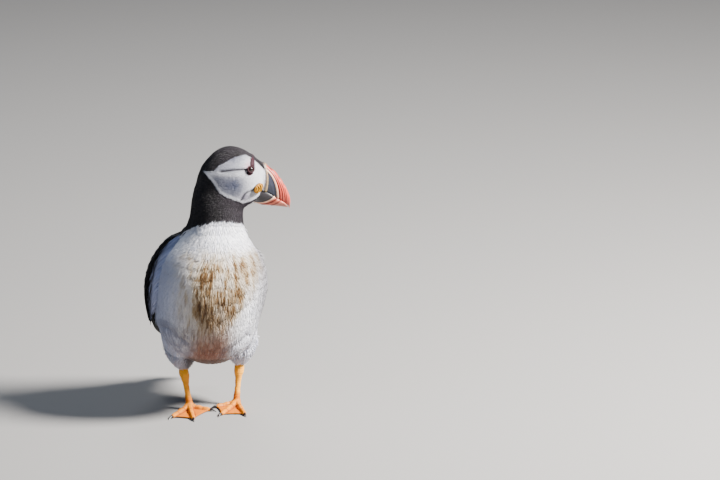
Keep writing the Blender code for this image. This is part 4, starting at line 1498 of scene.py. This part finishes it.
    def covert_rows(self, vanes: Vanes, rng: Random) -> None:
        """The small feathers over the rest, row by row from the tip to the shoulder."""
        for first, last, rows, length, half in reversed(self.coverts):
            for row in reversed(range(rows)):
                along = first + (last - first) * row / rows
                breadth = float(self.sections(np.array([along]))[3][0])
                count = max(3, int(breadth / (half * 1.15)))
                for n in range(count):
                    across = -0.97 + 1.94 * (n + 0.5 * (row % 2) + 0.25) / count
                    place = along + rng.normal(0, 0.004)
                    reach = length / 150 * (0.9 + 0.2 * rng.random())
                    tip = (place + reach, across * 0.96 + rng.normal(0, 0.02))
                    wide = half * (0.9 + 0.2 * rng.random())
                    self.feather(vanes, (place, across), tip, wide, (0.5, 0.95), 0.85 + 0.3 * rng.random())

    def dress(self) -> None:
        """Adds the core, the feathers in their rows and, on the right, the flank's over them."""
        self.core()
        vanes = Vanes(self.side.named("wing_feathers"))
        rng = np.random.default_rng(21 if self.side is Side.LEFT else 22)
        self.primaries(vanes)
        self.secondaries(vanes, rng)
        self.covert_rows(vanes, rng)
        self.scapulars(vanes, rng)
        vanes.dress("black_plumage")
        if self.side is Side.RIGHT:
            flank = Vanes(self.side.named("flank_feathers"))
            self.flank(flank, rng)
            flank.dress("white_plumage")


@dataclass
class Tail:
    """A short rounded fan of tail feathers, over a thin core."""

    skin: Skin
    table: tuple[tuple[float, ...], ...] = (
        (-46.0, 64.0, 12.0, 5.0), (-58.0, 56.5, 15.5, 4.4), (-69.5, 48.5, 18.5, 3.4),
        (-80.5, 40.0, 20.5, 2.4), (-89.0, 33.0, 19.5, 1.7), (-95.0, 28.0, 14.5, 1.2), (-97.4, 26.0, 7.0, 0.9),
    )  # forward, height, half width, half thickness
    arch: float = 0.20
    feathers: int = 16

    def surface(self, along: Array, side: Array, lift: Array | float,
                under: float = 1.0) -> tuple[Array, Array]:
        """Places of the fan's upper face, or of its lower one where under is negative."""
        row = curve_through(self.table)
        here = row(np.clip(along, 0, 1))
        line = unit((row(np.minimum(along + 0.01, 1)) - row(np.maximum(along - 0.01, 0)))[:, :2])
        up = np.column_stack([-line[:, 1], line[:, 0]])
        up *= np.sign(up[:, 1:])
        v = np.clip(side / here[:, 2], -1, 1)
        rise = self.arch * here[:, 2] * (1 - v * v) + under * here[:, 3] * np.sqrt(1 - v * v) + lift
        places = np.column_stack([side, here[:, 0] + up[:, 0] * rise, here[:, 1] + up[:, 1] * rise])
        return TORSO.world(places), TORSO.turn(np.column_stack([np.zeros(len(up)), up]))

    def core(self) -> None:
        """Adds the closed body that the feathers lie on."""
        points = 13
        spread = -np.cos(np.linspace(0, math.pi, points))

        def section(share: float, face: int) -> Array:
            """One face's points across the tail."""
            half = curve_through(self.table)(np.array([share]))[0, 2] * 0.93
            return self.surface(np.full(points, share), spread * half, 0.0, face * 0.6)[0]

        add_core("tail_core", flat_tube(section, np.linspace(0, 0.93, 24)), TAIL_CORE_FINISH, ("tail",))

    def dress(self) -> None:
        """Adds the core and the feathers, the middle ones on top."""
        self.core()
        vanes = Vanes("tail_feathers")
        t = np.linspace(0, 1, vanes.stations)
        last = self.feathers - 1
        order = sorted(range(self.feathers), key=lambda n: -abs(n - last / 2))
        for layer, n in enumerate(order):
            place = 2 * n / last - 1
            reach = 1.0 - 0.16 * place**2
            side = place * (5.0 + 14.5 * t**0.8)
            colour = PALETTE.mantle * (0.95 + 0.02 * layer)
            edge = colour * 1.4 + PALETTE.worn_edge * 0.3
            for face in (1.0, -1.0):
                path, out = self.surface(0.1 + (reach - 0.1) * t, side, 0.05 * layer * face, face)
                vanes.add(path, out * face, 3.0, colour, edge, self.skin.unwrap.at(path[:1])[0], camber=0.1)
        vanes.dress("black_plumage")


# ---- Bill and face ----


@dataclass(frozen=True)
class BillHalf:
    """One half of the bill between its ridge and its cutting edge, in the head's ahead and height."""

    ridge: tuple[tuple[float, float], ...]
    mouth: tuple[tuple[float, float], ...]
    half_widths: tuple[float, ...]
    ridge_share: float = 0.20
    edge_tuck: float = 0.16
    bow: float = 2.6

    def rings(self, shares: Array, points: int, proud: float = 0.0) -> Array:
        """Sections in the head's frame, from one cutting edge over the ridge to the other.

        Args:
            shares: where the sections stand, from 0 at the face to 1 at the tip.
            points: points up each side.
            proud: how far the surface stands out, in millimetres.

        Returns:
            Points by section, place in the section and axis, in millimetres.
        """
        ridge, mouth = curve_through(self.ridge)(shares), curve_through(self.mouth)(shares)
        half = curve_through([(w,) for w in self.half_widths])(shares)
        v = np.sin(math.pi / 2 * np.linspace(0, 1, points))[None, :, None]
        tall = np.linalg.norm(ridge - mouth, axis=1)[:, None, None]
        line = mouth[:, None] + (ridge - mouth)[:, None] * v * (1 + proud / tall)
        line[..., 0] += self.bow * 4 * (v * (1 - v))[..., 0] * np.sin(math.pi * shares)[:, None]
        share = self.ridge_share + (1 - self.ridge_share) * np.sqrt(1 - v**2)
        wide = half[:, None] * share * (1 - self.edge_tuck * (1 - v) ** 4) + proud
        side = np.concatenate([line[..., :1], wide, line[..., 1:]], axis=2)
        other = side[:, ::-1] * (1.0, -1.0, 1.0)
        return np.concatenate([side, other], axis=1)


@dataclass
class Bill:
    """The horn of both halves with its growth ridges, and the soft cere at its root."""

    upper: BillHalf = BillHalf(
        ((5.0, 3.0), (9.8, 0.6), (14.9, -2.5), (21.3, -8.0), (26.4, -14.8), (30.5, -21.9), (33.2, -28.6),
         (34.3, -34.6), (33.9, -40.6)),
        ((5.0, -22.4), (10.6, -23.4), (15.0, -25.0), (19.4, -27.6), (22.8, -30.2), (26.6, -32.5),
         (30.0, -34.8), (32.2, -37.0), (33.4, -40.0)),
        (8.3, 7.9, 7.0, 6.1, 5.2, 4.2, 3.2, 2.2, 0.9),
    )
    lower: BillHalf = BillHalf(
        ((-1.0, -30.0), (3.6, -34.6), (8.6, -36.8), (13.6, -37.5), (18.4, -38.0), (22.4, -38.4),
         (26.2, -38.8), (29.6, -39.3), (32.2, -39.8)),
        ((-1.0, -22.6), (4.8, -22.9), (10.2, -23.9), (14.8, -25.5), (19.2, -28.1), (22.6, -30.7),
         (26.4, -33.0), (29.8, -35.3), (32.0, -37.5)),
        (8.6, 8.5, 7.8, 6.9, 6.0, 5.0, 4.0, 3.0, 1.4),
    )
    cere_end: float = 0.222
    horn_start: float = 0.19
    cere_proud: float = 0.65
    upper_grooves: tuple[float, ...] = (1.065, 1.20, 1.34, 1.47)
    lower_grooves: tuple[float, ...] = (1.17, 1.42)

    def growth(self, head: Array, upper: bool) -> Array:
        """How far out a place lies along the bill's growth, 1 at the pale ridge."""
        if upper:
            crest = bump(distance_to_line(head[:, [0, 2]], self.upper.ridge), 0, 2.6)
            return np.hypot((head[:, 0] - 6) / 18, (head[:, 2] + 30) / 30.6) + 0.15 * crest
        return np.hypot((head[:, 0] - 6) / 17, (head[:, 2] + 24) / 10.8)

    def relief(self, growth: Array, grooves: Sequence[float], head: Array) -> Array:
        """Height of the horn's ridges and grooves, in millimetres."""
        rise = 0.42 * bump(growth, 0.98, 0.05) - 0.10 * (growth < 0.9)
        for n, place in enumerate(grooves):
            rise -= 0.42 * 0.75**n * bump(growth, place, 0.024)
            rise += 0.13 * bump(growth, place + 0.055, 0.035)
        along_ridges = np.stack([growth * 26, head[:, 1] * 0.12, head[:, 2] * 0.10], axis=1)
        lines = noise(along_ridges, 31) - 0.5
        return rise + 0.10 * lines

    def horn_colour(self, growth: Array, grooves: Sequence[float], head: Array, upper: bool) -> Array:
        """Slate plate, pale ridge, dark red groove and the red beyond."""
        blotch = noise(head / 2.6, 33)
        fine = noise(np.stack([growth * 30, head[:, 1] * 0.3, head[:, 2] * 0.3], axis=1), 34)
        plate = (PALETTE.slate if upper else PALETTE.lower_slate) * (0.86 + 0.3 * blotch)[:, None]
        outer = PALETTE.horn_red if upper else PALETTE.horn_pink
        outer = lerp(outer, PALETTE.horn_ridge, 0.16 * fine + 0.10 * blotch)
        tip = smoothstep(head[:, 2], -33, -38) * smoothstep(growth, 1.25, 1.5)
        outer = lerp(outer, PALETTE.horn_tip, tip * (0.45 if upper else 0.8))
        colour = lerp(plate, PALETTE.horn_ridge, smoothstep(growth, 0.925, 0.95))
        colour = lerp(colour, outer, smoothstep(growth, 1.00, 1.045))
        dark = np.zeros(len(head))
        wide = 0.034 if upper else 0.05
        for n, place in enumerate(grooves):
            dark = np.maximum(dark, bump(growth, place, wide * 0.85**n) * 0.95 * 0.78**n)
        colour = lerp(colour, PALETTE.horn_groove, dark)
        return colour * (0.92 + 0.16 * fine)[:, None]

    def horn(self, half: BillHalf, grooves: Sequence[float], start: float, upper: bool) -> Mesh:
        """One half's horn, ridged and painted.

        Args:
            half: its form.
            grooves: its growth grooves.
            start: the share of its length at which it leaves the face.
            upper: whether it is the upper half.

        Returns:
            The mesh in place.
        """
        shares = np.linspace(start, 1.0, 130)
        rings = HEAD.world(half.rings(shares, 46))
        mesh = skinned(rings)
        head = HEAD.local(vertex_places(mesh))
        growth = self.growth(head, upper)
        calmer = 1 - 0.7 * smoothstep(growth, 1.5, 1.7)
        raise_vertices(mesh, self.relief(growth, grooves, head) * calmer)
        paint(mesh, self.horn_colour(growth, grooves, head, upper))
        return mesh

    def cere(self) -> Mesh:
        """The pale pitted band round the root of the upper half."""
        shares = np.linspace(0.0, self.cere_end, 44)
        across = (shares / self.cere_end - 0.55) / 0.47
        proud = self.cere_proud * np.sqrt(np.clip(1 - across**2, 0.02, 1))
        rings = np.concatenate([self.upper.rings(shares[k:k + 1], 44, p) for k, p in enumerate(proud)])
        mesh = skinned(HEAD.world(rings))
        head = HEAD.local(vertex_places(mesh))
        pits = smoothstep(noise(head / 0.75, 36), 0.62, 0.8)
        off = past_root(head)
        raise_vertices(mesh, -(1.5 * smoothstep(off, 13.5, 12.7) + 0.22 * pits + 0.1 * noise(head / 1.8, 37)))
        stripe = smoothstep(np.abs(head[:, 1]), 5.6, 5.0)
        behind = lerp(PALETTE.face, PALETTE.hood, stripe)
        colour = lerp(behind, PALETTE.cere, smoothstep(off, 13.6, 14.0))
        colour = lerp(colour, PALETTE.cere_pit, pits * 0.7)
        colour = lerp(colour, PALETTE.cere_border, bump(off, 14.0, 0.7))
        paint(mesh, colour * (0.9 + 0.2 * noise(head / 2.2, 38))[:, None])
        return mesh

    def dress(self) -> None:
        """Adds both horns and the cere."""
        upper = self.horn(self.upper, self.upper_grooves, self.horn_start, True)
        lower = self.horn(self.lower, self.lower_grooves, 0.0, False)
        add_piece("bill_upper_horn", upper, HORN_FINISH, ("bill_upper",))
        add_piece("bill_lower_horn", lower, HORN_FINISH, ("bill_lower",))
        add_piece("bill_cere_band", self.cere(), CERE_FINISH, ("bill_cere",))


def around(points: int) -> Array:
    """Angles evenly round a turn."""
    return np.arange(points) * 2 * math.pi / points


@dataclass
class FaceFurniture:
    """What one side of the face bears: eye, its ring, two horny plates and the rosette."""

    side: Side
    skin: Skin
    eye_radius: float = 2.65
    eye_depth: float = 2.05
    ring_radius: float = 3.0
    rosette_radius: float = 5.4
    rosette_squash: float = 0.72
    rosette_lean: float = math.radians(28)
    rosette_dome: float = 1.45
    brow: tuple[Triple, ...] = (
        (0.7, 6.2, 0.35), (1.0, 5.2, 1.1), (1.35, 3.7, 1.8), (1.6, 2.0, 1.95), (1.6, 0.4, 1.5),
    )  # ahead, height, half width
    cheek: tuple[Triple, ...] = (
        (-2.6, -5.2, 0.35), (-1.2, -5.8, 0.75), (0.6, -5.9, 0.75), (2.2, -5.2, 0.4),
    )

    def frame(self, node: str) -> Frame:
        """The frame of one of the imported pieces."""
        return Frame.on_face(self.side.named(node), self.side)

    def add(self, name: str, mesh: Mesh, finish: PaintedFinish, node: str, slot: str) -> None:
        """Adds a piece of this side, which stands for a packed one."""
        add_piece(self.side.named(name), mesh, finish, (self.side.named(node),))

    def eye(self) -> None:
        """A wet ball, a little raised in front, with a dark brown iris round a black pupil."""
        bm = bmesh.new()
        bmesh.ops.create_uvsphere(bm, u_segments=64, v_segments=40, radius=1.0)
        mesh = close_bmesh(bm)
        ball = vertex_places(mesh)
        shape = ball * (self.eye_radius, self.eye_radius, self.eye_depth)
        shape[:, 2] *= 1 + 0.10 * smoothstep(ball[:, 2], 0.55, 1.0)
        move_vertices(mesh, self.frame("eye").world(shape))
        if self.side is Side.LEFT:
            mesh.flip_normals()
        radius = np.hypot(ball[:, 0], ball[:, 1]) + 2 * (ball[:, 2] < 0)
        colour = lerp(PALETTE.iris, PALETTE.iris_band, bump(radius, 0.66, 0.16))
        colour = lerp(colour, PALETTE.pupil, smoothstep(radius, 0.44, 0.38))
        paint(mesh, lerp(colour, PALETTE.iris_rim, smoothstep(radius, 0.86, 0.93)))
        self.add("eye_ball", mesh, EYE_FINISH, "eye", "eye")

    def ring(self) -> None:
        """The wrinkled maroon rim of the lids."""
        place = self.frame("eye_ring")
        turn, section = around(96), around(14)
        wrinkle = 0.10 * np.sin(turn * 23) + 0.08 * np.sin(turn * 9 + 1)
        inner = self.ring_radius * (1 - 0.07 * np.abs(np.sin(turn)) ** 3)
        flat = inner[:, None] + np.cos(section) * (0.55 + 0.4 * wrinkle)[:, None]
        high = 0.55 + np.sin(section) * 0.62 + 0.25 * wrinkle[:, None]
        rings = np.stack([np.cos(turn)[:, None] * flat, np.sin(turn)[:, None] * flat, high], axis=2)
        bm = bmesh.new()
        add_bands(bm, place.world(rings), closed=True)
        mesh = close_bmesh(bm)
        tone = 0.7 + 0.6 * noise(place.local(vertex_places(mesh)) / 0.5, 41)
        paint(mesh, PALETTE.eye_ring * tone[:, None])
        self.add("eye_rim", mesh, EYE_RING_FINISH, "eye_ring", "eye_ring")

    def on_skin(self, flat: Array, high: Array) -> Array:
        """World places at heights over this side of the face.

        Args:
            flat: ahead and height of the places, by ring and place in the ring.
            high: how far each stands over the skin, in millimetres.

        Returns:
            The places, by ring, place in the ring and axis.
        """
        side = self.side.value
        inward = Vector(HEAD.turn(np.array([0.0, -side, 0.0])))
        places = np.zeros((*high.shape, 3))
        for index in np.ndindex(high.shape):
            ahead, up = flat[index]
            start = Vector(HEAD.world(np.array([ahead, 60.0 * side, up])))
            place, normal, _, _ = self.skin.tree.ray_cast(start, inward)
            if place is None:
                beside = Vector(HEAD.world(np.array([ahead, 10.0 * side, up])))
                place, normal, _, _ = self.skin.tree.find_nearest(beside)
            places[index] = place + normal * high[index] * MM
        return places

    def plate(self, node: str, line: Sequence[Triple], rise: float) -> None:
        """A pillowed horny plate laid along a curved line of the face.

        Args:
            node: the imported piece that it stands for.
            line: ahead, height and half width along its middle.
            rise: height of its middle over the skin.
        """
        share, turn = np.linspace(0, 1, 44), around(20)
        middle = curve_through(line)(share)
        way = unit(np.gradient(middle[:, :2], axis=0))
        across = np.column_stack([-way[:, 1], way[:, 0]])
        taper = np.sqrt(np.clip(1 - np.abs(2 * share - 1) ** 7, 0.01, 1))
        half = (middle[:, 2] * taper)[:, None] * np.cos(turn)
        flat = middle[:, None, :2] + across[:, None] * half[..., None]
        high = 0.3 + rise * taper[:, None] * np.sin(turn)
        mesh = skinned(self.on_skin(flat, high))
        tone = 0.6 + 0.8 * noise(HEAD.local(vertex_places(mesh)) / 0.8, 43)
        paint(mesh, PALETTE.eye_plate * tone[:, None])
        self.add(f"{node}_horn", mesh, EYE_PLATE_FINISH, node, "eye_plate")

    def rosette(self) -> None:
        """The puckered golden fold of skin at the corner of the mouth, with painted shade in its furrows and
        painted highlights on its crests.
        """
        place = self.frame("rosette")
        share, turn = np.meshgrid(np.linspace(0.03, 1.0, 34), around(108), indexing="ij")
        radii = share * self.rosette_radius
        cos, sin = math.cos(self.rosette_lean), math.sin(self.rosette_lean)
        long, short = radii * np.cos(turn), radii * np.sin(turn) * self.rosette_squash
        x, y = long * cos - short * sin, long * sin + short * cos
        crescent = x + 0.5 + 0.10 * (y - 0.4) ** 2 + 0.25 * np.sin(1.1 * y + 0.7 * x)
        folds = 0.5 * np.cos(crescent * math.pi / 1.25) * smoothstep(share, 0.0, 0.2)
        dome = self.rosette_dome * (1 - share**2.4) + folds * (1 - share**5)
        top = np.stack([x, y, dome + 0.2], axis=2)
        floor = top[::-1] * (1, 1, 0) + (0, 0, -1.2)
        mesh = skinned(place.world(np.concatenate([top, floor])))
        level = place.local(vertex_places(mesh))
        long = level[:, 0] * cos + level[:, 1] * sin
        short = (level[:, 1] * cos - level[:, 0] * sin) / self.rosette_squash
        share = np.clip(np.hypot(long, short) / self.rosette_radius, 0, 1)
        over = level[:, 2] - (self.rosette_dome * (1 - share**2.4) + 0.2)
        # Painted shade where the surface sinks below the dome, painted highlight where the folds rise over
        # it.
        colour = lerp(PALETTE.rosette, PALETTE.rosette_furrow_shade, smoothstep(over, 0.1, -0.4))
        paint(mesh, lerp(colour, PALETTE.rosette_crest_highlight, smoothstep(over, 0.15, 0.45) * 0.7))
        self.add("rosette_fold", mesh, ROSETTE_FINISH, "rosette", "rosette")

    def dress(self) -> None:
        """Adds everything on this side."""
        self.eye()
        self.ring()
        self.plate("brow_plate", self.brow, 0.75)
        self.plate("cheek_plate", self.cheek, 0.85)
        self.rosette()


# ---- Legs ----


@dataclass(frozen=True)
class FootPlaces:
    """Places of a leg, and what their nearest toe makes of them."""

    body: Array  # in the body's frame
    upward: Array  # height of the unit normal
    off: Array  # from the nearest toe's line
    along: Array  # along that line, from the ankle
    length: Array  # of that toe

    @property
    def height(self) -> Array:
        """Over the floor."""
        return self.body[:, 2]

    @cached_property
    def top(self) -> Array:
        """1 where the skin faces up."""
        return smoothstep(self.upward, -0.1, 0.4)

    @cached_property
    def on_toe(self) -> Array:
        """1 on the toes."""
        return smoothstep(self.off, 3.4, 2.2) * smoothstep(self.height, 9.5, 7.0)

    @cached_property
    def web(self) -> Array:
        """1 on the upper side of the webs."""
        return smoothstep(self.off, 2.2, 4.0) * smoothstep(self.height, 6, 4) * self.top

    @cached_property
    def knuckles(self) -> Array:
        """1 at the joints of the toes."""
        return sum(bump(self.along / self.length, joint, 0.035) for joint in (0.36, 0.70))


@dataclass
class Leg:
    """One bare shank and webbed foot with its claws."""

    side: Side
    voxel: float = 0.42
    grown: float = 0.2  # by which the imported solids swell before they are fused
    lengths: Triple = (19.5, 33.5, 31.0)  # inner, middle and outer toe

    def map_places(self, mesh: Mesh) -> FootPlaces:
        """The mesh's vertices by their nearest toe."""
        body = TORSO.local(vertex_places(mesh))
        flat = body[:, :2] - TOE_ROOTS[self.side][:2]
        best = np.full(len(body), np.inf)
        along, length = np.zeros(len(body)), np.ones(len(body))
        for degrees, reach in zip(TOE_HEADINGS[self.side], self.lengths):
            angle = math.radians(degrees)
            way = np.array([math.sin(angle), math.cos(angle)])
            t = np.clip(flat @ way, 0, reach)
            off = np.linalg.norm(flat - t[:, None] * way, axis=1)
            nearer = off < best
            best[nearer], along[nearer], length[nearer] = off[nearer], t[nearer], reach
        return FootPlaces(body, vertex_normals(mesh)[:, 2], best, along, length)

    def stub(self) -> BMesh:
        """A short peg that carries the shank up into the thigh's feathers."""
        middle = np.array(ANKLES[self.side]) + (0, 0, 5.0)
        bm = bmesh.new()
        bmesh.ops.create_cone(bm, cap_ends=True, segments=20, radius1=3.4 * MM, radius2=3.0 * MM,
                              depth=13 * MM, matrix=Matrix.Translation(Vector(TORSO.world(middle))))
        return bm

    def toe_relief(self, foot: FootPlaces) -> Array:
        """Height of the toes' scutes and joints and of the web's folds, in millimetres."""
        scutes = np.abs(np.sin(foot.along * math.pi / 1.35)) ** 0.6 - 0.6
        rise = foot.on_toe * foot.top * (0.09 * scutes - 0.10 * foot.knuckles)
        waves = np.sin(foot.off * 2.6 + 1.6 * np.sin(foot.along * 0.5))
        return rise + foot.web * 0.07 * (waves * 0.5 + noise(foot.body / 1.5, 51) - 0.5)

    def shank_relief(self, foot: FootPlaces) -> Array:
        """Height of the shank's plates in front, pebbles behind and swellings, in millimetres."""
        low, high = np.array(TOE_ROOTS[self.side]), np.array(ANKLES[self.side])
        share = np.clip((foot.body[:, 2:] - low[2]) / (high[2] - low[2]), 0, 1)
        axis = low[:2] + (high - low)[:2] * share
        front = smoothstep(foot.body[:, 1] - axis[:, 1], -0.5, 1.0)
        plates = np.abs(np.sin(foot.height * math.pi / 2.1)) ** 0.5 - 0.7
        pebbles = noise(foot.body / 0.8, 52) - 0.5
        rise = front * 0.22 * plates + (1 - front) * 0.2 * pebbles
        rise += 0.4 * (noise(foot.body / (3.0, 3.0, 2.0), 53) - 0.5)
        rise += 0.3 + 0.45 * bump(foot.height, high[2] - 6.0, 6.0) - 0.2 * bump(foot.height, 19.0, 8.0)
        return smoothstep(foot.height, 7.5, 10.0) * rise

    def flesh(self) -> Mesh:
        """Shank and foot as one, with their scutes, joints and web folds."""
        parts = [merged_node(self.side.named(part)) for part in ("foot", "shank")]
        for part in parts:
            swell(part, self.grown * MM)
        mesh = fused([*parts, self.stub()], self.voxel * MM, 3)
        foot = self.map_places(mesh)
        rise = self.toe_relief(foot) + self.shank_relief(foot)
        off_floor = smoothstep(foot.height, 0.2, 0.8)
        raise_vertices(mesh, (rise - self.grown) * off_floor)
        move_vertices(mesh, np.maximum(vertex_places(mesh), (-np.inf, -np.inf, 0.0)))
        paint(mesh, self.colour(foot, rise))
        return mesh

    def colour(self, foot: FootPlaces, rise: Array) -> Array:
        """Orange, yellower on the toes, redder in the joints, with painted shade beside the toes and in the
        sunk furrows.
        """
        colour = lerp(PALETTE.orange, PALETTE.shank_yellow, smoothstep(foot.height, 8, 16))
        colour = lerp(colour, PALETTE.toe_orange, foot.on_toe * 0.8)
        colour = lerp(colour, PALETTE.orange, foot.web * 0.7)
        # Painted shade along the web beside each toe and in the sunk furrows; the toes' joints are darker of
        # their own.
        beside = bump(foot.off, 3.0, 0.6) * smoothstep(foot.height, 6, 4) * foot.top * 0.8
        joints_and_shade = beside + smoothstep(rise, 0.0, -0.14) * 0.6 + foot.knuckles * foot.on_toe * 0.2
        colour = lerp(colour, PALETTE.joint_and_shade_orange, np.clip(joints_and_shade, 0, 1))
        sole = smoothstep(foot.top, 0.3, 0.0) * smoothstep(foot.height, 3, 0.5) * 0.7
        colour = lerp(colour, PALETTE.sole, sole)
        return colour * (0.88 + 0.24 * noise(foot.body / 2.4, 54))[:, None]

    def claw(self, toe: str) -> None:
        """One black claw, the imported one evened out."""
        name = f"{self.side.named('claw')}_{toe}"
        bm = merged_node(name)
        bmesh.ops.subdivide_edges(bm, edges=bm.edges[:], cuts=2, use_grid_fill=True, smooth=0.6)
        axes = {f"use_axis_{axis}": True for axis in "xyz"}
        bmesh.ops.smooth_vert(bm, verts=bm.verts, factor=0.5, **axes)
        mesh = close_bmesh(bm)
        tone = 0.7 + 0.6 * noise(TORSO.local(vertex_places(mesh)) / 0.9, 56)
        paint(mesh, PALETTE.claw * tone[:, None])
        add_piece(f"{name}_horn", mesh, CLAW_FINISH, (name,))

    def dress(self) -> None:
        """Adds the leg and its claws."""
        nodes = (self.side.named("foot"), self.side.named("shank"))
        add_piece(self.side.named("leg"), self.flesh(), FOOT_FINISH, nodes)
        for toe in ("inner", "middle", "outer"):
            self.claw(toe)


# ---- Studio ----


@dataclass(frozen=True)
class Lamp:
    """A large soft light, aimed at the bird, in degrees, metres and watts."""

    name: str
    azimuth: float
    elevation: float
    distance: float
    size: float
    power: float
    colour: Triple

    def hang(self, aim: Vector) -> None:
        """Adds the light at its bearing from the aim."""
        light = bpy.data.lights.new(self.name, "AREA")
        light.shape, light.size, light.energy, light.color = "DISK", self.size, self.power, self.colour
        lamp = link(bpy.data.objects.new(self.name, light))
        lamp.location = aim + bearing(self.azimuth, self.elevation) * self.distance
        lamp.rotation_euler = (lamp.location - aim).to_track_quat("Z", "Y").to_euler()


def bearing(azimuth: float, elevation: float) -> Vector:
    """Direction from the bird to a place round it, 0 in front of it and 90 at its left."""
    a, e = math.radians(azimuth), math.radians(elevation)
    return Vector((math.sin(a) * math.cos(e), -math.cos(a) * math.cos(e), math.sin(e)))


@dataclass
class Studio:
    """Pale floor, soft light and the camera, in degrees and metres."""

    azimuth: float = -12.0
    elevation: float = 15.0
    distance: float = 5.3
    lens: float = 300.0
    aim_right: float = 0.1312
    aim_up: float = 0.1511
    bird: Triple = (0.0, 20.0, 130.0)  # where the lamps aim, in the body's frame
    floor: tuple[float, ...] = (0.235, 0.23, 0.225, 1.0)
    sky: tuple[float, ...] = (0.52, 0.70, 1.0, 1.0)
    sky_strength: float = 0.13
    lamps: tuple[Lamp, ...] = (
        Lamp("key", 66.0, 42.0, 1.6, 0.45, 190.0, (1.0, 0.965, 0.92)),
        Lamp("fill", -75.0, 22.0, 1.8, 1.2, 6.0, (0.46, 0.66, 1.0)),
        Lamp("rim", 165.0, 48.0, 1.7, 0.8, 16.0, (0.93, 0.96, 1.0)),
    )

    def build(self) -> None:
        """Adds floor, light and camera."""
        bm = bmesh.new()
        bmesh.ops.create_grid(bm, x_segments=1, y_segments=1, size=12.0)
        mesh = bpy.data.meshes.new("floor")
        bm.to_mesh(mesh)
        bm.free()
        floor = link(bpy.data.objects.new("floor", mesh))
        Finish("floor").set(Base_Color=self.floor, Roughness=0.9, Specular_IOR_Level=0.1).on(mesh)
        world = bpy.data.worlds.new("studio")
        bpy.context.scene.world = world
        world.use_nodes = True
        sky = world.node_tree.nodes["Background"]
        sky.inputs["Color"].default_value = self.sky
        sky.inputs["Strength"].default_value = self.sky_strength
        for lamp in self.lamps:
            lamp.hang(Vector(TORSO.world(self.bird)))
        self.camera()

    def camera(self) -> None:
        """Adds the camera, which keeps the bird left of the middle and low."""
        back = bearing(self.azimuth, self.elevation)
        turn = math.radians(self.azimuth)
        right = Vector((math.cos(turn), math.sin(turn), 0.0))
        up = back.cross(right)
        data = bpy.data.cameras.new("camera")
        data.lens, data.clip_end = self.lens, 100.0
        camera = link(bpy.data.objects.new("camera", data))
        aim = Vector(TORSO.origin * (1, 1, 0)) + right * self.aim_right + up * self.aim_up
        camera.location = aim + back * self.distance
        camera.rotation_euler = back.to_track_quat("Z", "Y").to_euler()
        bpy.context.scene.camera = camera


def main() -> None:
    """Dresses the bird piece by piece and sets up the studio."""
    logging.basicConfig(level=logging.INFO, format="%(name)s: %(message)s")
    skin = Skin().build()
    skin.dress()
    Plumage().grow(skin)
    Tail(skin).dress()
    Bill().dress()
    for side in Side:
        FoldedWing(side, skin).dress()
        FaceFurniture(side, skin).dress()
        Leg(side).dress()
    Studio().build()


if __name__ == "__main__":
    main()
